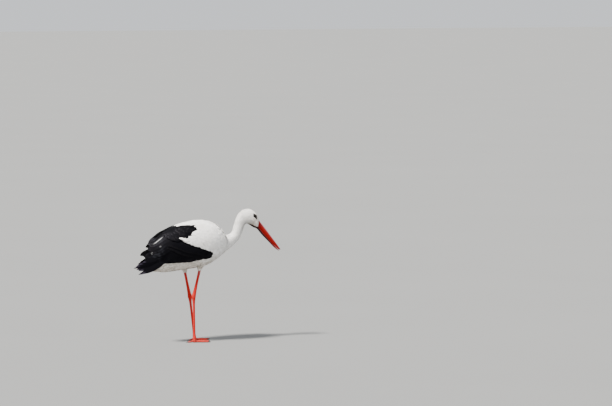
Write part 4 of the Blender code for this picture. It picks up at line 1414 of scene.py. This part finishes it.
# ---------------------------------------------------------------- materials
class Nodes:
    """A node material and short ways to add to it. Numbers are set on sockets, everything else is linked."""

    def __init__(self, name):
        self.material = bpy.data.materials.new(name)
        self.material.use_nodes = True
        self.tree = self.material.node_tree
        self.shader = self.tree.nodes["Principled BSDF"]

    def put(self, socket, value):
        if isinstance(value, bpy.types.NodeSocket):
            self.tree.links.new(value, socket)
        elif isinstance(value, tuple) and len(value) == 3 and socket.type == "RGBA":
            socket.default_value = (*value, 1)
        else:
            socket.default_value = value

    def set(self, **inputs):
        """Sets inputs of the shader, named with _ for a space."""
        for name, value in inputs.items():
            self.put(self.shader.inputs[name.replace("_", " ")], value)
        return self.material

    def add(self, kind, settings=(), values=(), **inputs):
        """A node with its settings, its first inputs in their order and others by name."""
        node = self.tree.nodes.new("ShaderNode" + kind)
        for key, value in dict(settings).items():
            setattr(node, key, value)
        for key, value in (*enumerate(values), *inputs.items()):
            self.put(node.inputs[key], value)
        return node

    def math(self, operation, *values):
        return self.add("Math", {"operation": operation}, values).outputs[0]

    def times(self, first, *others):
        for other in others:
            first = self.math("MULTIPLY", first, other)
        return first

    def ramp(self, value, low, high, start=0.0, end=1.0):
        node = self.add("MapRange", {"interpolation_type": "SMOOTHSTEP"}, (value, low, high, start, end))
        return node.outputs[0]

    def mix(self, share, a, b):
        node = self.add("Mix", {"data_type": "RGBA"})
        for index, value in ((0, share), (6, a), (7, b)):
            self.put(node.inputs[index], value)
        return node.outputs[2]

    def value(self, name):
        return self.add("Attribute", {"attribute_name": name}).outputs["Fac"]

    def place(self):
        return self.add("TexCoord").outputs["Object"]

    def height(self):
        return self.add("SeparateXYZ", Vector=self.place()).outputs[2]

    def distance(self, point):
        """How far the surface is from a point of the working frame, in metres."""
        node = self.add("VectorMath", {"operation": "DISTANCE"}, (self.place(), tuple(row(point))))
        return node.outputs["Value"]

    def noise(self, scale, detail=3.0, stretch=(1.0, 1.0, 1.0)):
        place = self.add("Mapping", Vector=self.place(), Scale=stretch).outputs[0]
        return self.add("TexNoise", Vector=place, Scale=scale, Detail=detail).outputs["Fac"]

    def bump(self, height, distance, strength=1.0):
        return self.add("Bump", Strength=strength, Distance=distance, Height=height).outputs["Normal"]


def barbs(n):
    """Fine slanting barbs of a vane, -1 to 1, and its coordinates across, along and away from the shaft."""
    place = n.add("SeparateXYZ", Vector=n.add("UVMap", {"uv_map": "vane"}).outputs[0])
    across, along = place.outputs[0], place.outputs[1]
    away = n.math("ABSOLUTE", across)
    phase = n.math("MULTIPLY_ADD", n.times(along, n.value("length")), 4.1, n.times(away, -16.0))
    wave = n.math("SINE", n.math("ADD", phase, n.times(n.noise(420.0), 9.0)))
    return wave, across, along, away


def white_plumage():
    """White, creamy and streaked brown by the bill, with painted shade at each feather's root; creamier and
    streaked on the lower breast and belly, with painted shade and dirt along the feather rims there.
    """
    n = Nodes("white_plumage")
    wave, _, along, away = barbs(n)
    low = n.ramp(n.height(), 0.425, 0.375)
    colour = n.mix(low, (0.86, 0.845, 0.82), (0.80, 0.755, 0.68))
    from_bill = n.distance(COLLAR_PLACE)
    colour = n.mix(n.ramp(from_bill, 0.060, 0.026, 0.0, 0.8), colour, (0.66, 0.54, 0.42))
    by_bill = n.times(n.ramp(from_bill, 0.041, 0.026), n.ramp(n.noise(110.0), 0.40, 0.60, 0.0, 0.75))
    colour = n.mix(by_bill, colour, (0.40, 0.26, 0.18))
    patchy = n.times(n.ramp(n.noise(24.0, 4.0), 0.46, 0.72), 0.45)
    colour = n.mix(patchy, colour, (0.64, 0.60, 0.55))
    colour = n.mix(n.times(n.value("tint"), 0.28), colour, (0.66, 0.64, 0.62))
    # Painted shade at each feather's root, where the feathers above overlap it.
    colour = n.mix(n.ramp(along, 0.6, 0.1, 0.0, 0.55), colour, (0.50, 0.48, 0.46))  # the root
    colour = n.mix(n.ramp(away, 0.12, 0.03, 0.0, 0.25), colour, (0.93, 0.91, 0.86))  # the shaft
    streaky = n.times(n.ramp(n.value("tint"), 0.45, 0.85), low, 0.6)
    colour = n.mix(streaky, colour, (0.40, 0.335, 0.25))
    # Painted shade between the loose plumes, with dirt: their rims turn brown low on the body.
    rim_shade_and_dirt = n.times(n.ramp(away, 0.55, 1.0), low, n.ramp(n.noise(26.0), 0.45, 0.65), 0.75)
    colour = n.mix(rim_shade_and_dirt, colour, (0.34, 0.25, 0.165))
    colour = n.mix(n.ramp(wave, -1.0, 1.0, 0.0, 0.08), colour, (0.60, 0.58, 0.56))
    return n.set(Base_Color=colour, Roughness=0.75, Normal=n.bump(wave, 0.00003, 0.4), Sheen_Weight=0.12,
                 Sheen_Roughness=0.5, Specular_IOR_Level=0.25)


# Painted highlights: light spots at the rims of the near wing's feathers, as x, turn, radius in mm and
# strength.
HIGHLIGHT_SPOTS = [(-272, 71, 7.5, 0.9), (-229, 61, 7.0, 0.3)]


def black_plumage(name, silver=0.0, tip=(0.0062, 0.0056, 0.0062)):
    """Black with paler tips, which on the primaries are a painted purple-grey sheen. silver also adds greyish
    webs, a silvery rim with a painted highlight streak, and painted highlight spots.
    """
    n = Nodes(name)
    wave, across, along, away = barbs(n)
    colour = n.mix(n.noise(14.0, 2.0), (0.0009, 0.0009, 0.0014), (0.0015, 0.0012, 0.0018))
    colour = n.mix(n.times(n.value("tint"), 0.5), colour, (0.0022, 0.0022, 0.0027))
    # Paler tips; on the primaries, with their purple-grey tip colour, this is a painted sheen.
    colour = n.mix(n.ramp(along, 0.80, 1.0, 0.0, 0.8), colour, tip)
    colour = n.mix(n.ramp(away, 0.82, 1.0, 0.0, 0.5), colour, (0.0014, 0.0014, 0.0016))
    colour = n.mix(n.ramp(wave, -1.0, 1.0, 0.0, 0.2), colour, (0.0007, 0.0007, 0.001))
    if silver:
        web = n.times(n.ramp(away, 0.25, 0.7), n.ramp(along, 0.35, 0.7))
        grey = n.times(web, n.ramp(n.noise(30.0), 0.45, 0.75), silver)
        colour = n.mix(grey, colour, (0.0279, 0.0285, 0.0347))
        # Painted highlight streak along the silvery outer rim of one tertial of the near wing.
        rim = n.ramp(n.times(across, n.value("pale")), 0.72, 0.84)
        run = n.times(n.ramp(along, 0.48, 0.66), n.ramp(along, 0.90, 0.74))
        streak_highlight = n.times(run, n.ramp(n.noise(90.0, 4.0), 0.30, 0.5, 0.35, 1.0))
        colour = n.mix(n.times(rim, streak_highlight), colour, (0.31, 0.3069, 0.31))
        # Painted highlight spots on the rims of the near wing's flight feathers.
        for x, turn, radius, share in HIGHLIGHT_SPOTS:
            spot = n.ramp(n.distance(on_wing(x, turn, -3.5, -1)), radius * 0.001, radius * 0.0005, 0.0, share)
            colour = n.mix(n.times(spot, n.ramp(away, 0.55, 0.8)), colour, (0.20, 0.20, 0.20))
    return n.set(Base_Color=colour, Roughness=n.ramp(wave, -1.0, 1.0, 0.46, 0.54),
                 Normal=n.bump(wave, 0.00002, 0.3), Specular_IOR_Level=0.06, Specular_Tint=(0.86, 0.84, 1.0))


def skin_material():
    """Down under the feathers, black where the feathers are, and the bare skin round the eyes."""
    n = Nodes("skin_and_down")
    down = n.mix(n.noise(180.0), (0.72, 0.69, 0.65), (0.82, 0.79, 0.755))
    down = n.mix(n.ramp(n.value("black"), 0.35, 0.65), down, (0.0031, 0.0031, 0.0037))
    wrinkles = n.noise(900.0, 4.0)
    bare_skin = n.mix(n.ramp(wrinkles, 0.35, 0.65), (0.0019, 0.0019, 0.0022), (0.0068, 0.0062, 0.0065))
    face = n.ramp(n.value("bare"), 0.3, 0.6)
    return n.set(Base_Color=n.mix(face, down, bare_skin), Roughness=n.ramp(face, 0.0, 1.0, 0.85, 0.55),
                 Normal=n.bump(wrinkles, 0.0002, 0.7), Specular_IOR_Level=0.2)


def bill_material():
    """Red horn with a painted pinkish highlight along the ridge, and painted shade along the cutting edges,
    under the lower jaw and over its hind part, and in the nostril slit.
    """
    n = Nodes("bill_horn")
    along, edge, slit, lower = (n.value(name) for name in ("along", "edge", "slit", "lower"))
    grain = n.noise(1.0, 5.0, (120.0, 120.0, 900.0))
    red = n.mix(n.ramp(along, 0.0, 0.4), (0.1488, 0.0014, 0.0017), (0.2232, 0.0019, 0.0019))
    red = n.mix(n.ramp(along, 0.80, 1.0), red, (0.1984, 0.0062, 0.005))
    red = n.mix(n.times(n.ramp(grain, 0.4, 0.8), 0.45), red, (0.124, 0.0009, 0.0012))
    # Painted highlight: the ridge of the upper jaw is pale pink over its first half.
    ridge = n.times(n.ramp(edge, -0.30, -0.85, 0.0, 0.75), n.ramp(along, 0.75, 0.45))
    red = n.mix(n.times(ridge, n.math("SUBTRACT", 1.0, lower)), red, (0.40, 0.085, 0.09))
    red = n.mix(n.ramp(n.noise(160.0, 4.0), 0.62, 0.75, 0.0, 0.25), red, (0.279, 0.0372, 0.0279))
    # Painted shade along the cutting edges, where the jaws meet.
    red = n.mix(n.ramp(edge, 0.80, 0.98, 0.0, 0.8), red, (0.031, 0.0006, 0.0009))
    # Painted shade under the lower jaw and over its hind part.
    under = n.times(lower, n.times(n.ramp(edge, 0.60, 0.15), n.ramp(along, 0.84, 0.58)))
    hind = n.times(lower, n.ramp(along, 0.43, 0.30))
    red = n.mix(n.math("MAXIMUM", under, hind), red, (0.0124, 0.0012, 0.0015))
    # Painted shade in the nostril slit.
    return n.set(Base_Color=n.mix(n.ramp(slit, 0.25, 0.7), red, (0.0025, 0.0006, 0.0006)),
                 Roughness=n.ramp(grain, 0.3, 0.8, 0.30, 0.42), Normal=n.bump(grain, 0.00012, 0.5),
                 Specular_IOR_Level=0.15)


def leg_material(name, light, dark, scale, tinted):
    """Red, greyish pink by the thigh as painted shade of the body, and dusty at the floor. tinted is the
    share of the plates' own differences.
    """
    n = Nodes(name)
    height, grain = n.height(), n.noise(scale, 4.0)
    red = n.mix(n.ramp(grain, 0.3, 0.75), dark, light)
    red = n.mix(n.times(n.value("tint"), tinted), red, (0.31, 0.0217, 0.0136))
    # Painted shade of the body: greyish pink at the top of the shank.
    red = n.mix(n.ramp(height, 0.31, 0.365, 0.0, 0.6), red, (0.2604, 0.124, 0.1178))
    red = n.mix(n.ramp(height, 0.03, 0.0, 0.0, 0.3), red, (0.1612, 0.0744, 0.0496))
    return n.set(Base_Color=red, Roughness=n.ramp(grain, 0.3, 0.8, 0.38, 0.6),
                 Normal=n.bump(grain, 0.00015, 0.6), Specular_IOR_Level=0.15)


PUPIL, IRIS = 2.45, 4.5  # radii of their rims on the eyeball, each soft over a short way


def eye_material():
    n = Nodes("eyeball")
    off = n.value("off_axis")
    colour = n.mix(n.ramp(n.noise(2200.0), 0.35, 0.7), (0.0037, 0.002, 0.0012), (0.0124, 0.0059, 0.0031))
    colour = n.mix(n.ramp(off, IRIS - 0.5, IRIS + 0.5), colour, (0.0037, 0.0031, 0.0031))
    colour = n.mix(n.ramp(off, PUPIL + 0.1, PUPIL - 0.1), colour, (0.0006, 0.0006, 0.0006))
    colour = n.mix(n.ramp(n.value("front"), 0.4, 0.6), (0.005, 0.0043, 0.0043), colour)
    return n.set(Base_Color=colour, Roughness=0.10, Specular_IOR_Level=0.08, Coat_Weight=0.24,
                 Coat_Roughness=0.02)


def claw_material():
    n = Nodes("claw_horn")
    grain = n.noise(1.0, 4.0, (300.0, 900.0, 900.0))
    dark = n.mix(n.ramp(grain, 0.35, 0.7), (0.0186, 0.0099, 0.0074), (0.0434, 0.0248, 0.0186))
    dark = n.mix(n.ramp(n.value("along"), 0.5, 1.0, 0.0, 0.6), dark, (0.0744, 0.0527, 0.0403))
    return n.set(Base_Color=dark, Roughness=0.38, Normal=n.bump(grain, 0.0001, 0.5))


# ---------------------------------------------------------------- studio
CAMERA_TURN = radians(-28.3)
CAMERA_DOWN = radians(3.9)
CAMERA_PLACE = (-7.107, -14.263, 1.763)
CAMERA_LENS = 192.06  # on a 36 mm sensor
FLOOR_REACH = 90  # metres
FLOOR_LEVEL = -0.0002


def make_camera():
    """The camera at the photo's angle, without depth of field."""
    camera = bpy.data.objects.new("camera", bpy.data.cameras.new("camera"))
    camera.data.sensor_width, camera.data.lens = 36, CAMERA_LENS
    camera.data.clip_start, camera.data.clip_end = 0.5, 500
    camera.location = CAMERA_PLACE
    camera.rotation_euler = (pi / 2 - CAMERA_DOWN, 0, CAMERA_TURN)
    bpy.context.scene.collection.objects.link(camera)
    bpy.context.scene.camera = camera


def make_sun(name, way, strength, angle, colour):
    """A soft distant light from way."""
    lamp = bpy.data.lights.new(name, "SUN")
    lamp.energy, lamp.angle, lamp.color = strength, radians(angle), colour
    ob = bpy.data.objects.new(name, lamp)
    ob.rotation_mode = "QUATERNION"
    ob.rotation_quaternion = Vector(way).to_track_quat("Z", "Y")
    bpy.context.scene.collection.objects.link(ob)


def make_studio():
    """A plain pale floor, a pale world and two soft lights beside the camera."""
    n = Nodes("studio_floor")
    soft = n.mix(n.noise(0.8, 2.0), (0.178, 0.180, 0.178), (0.190, 0.192, 0.190))
    corners = FLOOR_REACH * np.array([(-1, -1, 0), (1, -1, 0), (1, 1, 0), (-1, 1, 0)])
    pale = n.set(Base_Color=soft, Roughness=0.9)
    floor = add("studio_floor", work(corners), np.arange(4), np.array([0]), pale, smooth_shade=False)
    floor.location.z = FLOOR_LEVEL
    world = bpy.data.worlds.new("studio")
    world.use_nodes = True
    back = world.node_tree.nodes["Background"]
    back.inputs["Color"].default_value = (0.93, 0.96, 1.0, 1)
    back.inputs["Strength"].default_value = 0.92
    bpy.context.scene.world = world
    right = np.array((cos(CAMERA_TURN), sin(CAMERA_TURN), 0))
    near = np.array((sin(CAMERA_TURN), -cos(CAMERA_TURN), 0))
    make_sun("key", -0.50 * right + 0.45 * near + (0, 0, 1.0), 12.0, 9, (1.0, 0.97, 0.92))
    make_sun("fill", 0.9 * right + 0.5 * near + (0, 0, 0.35), 0.7, 40, (0.92, 0.95, 1.0))


def main():
    """Builds the studio, the skin, the coat, the wings, the tail, the bill, the eyes and the legs in turn."""
    make_camera()
    make_studio()
    skin = make_skin(skin_material())
    keep(skin, *FLESH, slot="white_feathers")
    ground = Ground(skin)
    white, black = white_plumage(), black_plumage("black_plumage")
    flight = black_plumage("flight_feathers", silver=0.5)
    # The primaries' purple-grey tips are a painted sheen.
    hand = black_plumage("primary_feathers", tip=(0.048, 0.040, 0.060))
    for ob in make_body_coat(ground, white):
        keep(ob, slot="white_feathers")
    for side, word in SIDES.items():
        keep(make_coverts(side, ground, white), slot="white_feathers")
        keep(make_scapulars(side, ground, black), slot="black_feathers")
        keep(make_greater_coverts(side, ground, black), slot="black_feathers")
        keep(make_secondaries(side, ground, flight), "secondaries_" + word, slot="black_feathers")
        keep(make_tertials(side, ground, flight), "tertials_" + word, slot="black_feathers")
        keep(make_primaries(side, ground, hand), "primaries_" + word, slot="black_feathers")
    keep(make_tail(ground, white), "tail", slot="white_feathers")
    keep(make_tail_coverts(ground, white), slot="white_feathers")
    make_bill(bill_material())
    make_eyes(eye_material())
    red = leg_material("leg_skin", (0.44, 0.0080, 0.0056), (0.30, 0.0046, 0.0040), 500.0, 0.0)
    plate = leg_material("leg_plates", (0.66, 0.0190, 0.0125), (0.50, 0.0095, 0.0070), 800.0, 0.35)
    claw = claw_material()
    for side in SIDES:
        make_leg(side, red, plate, claw)


main()
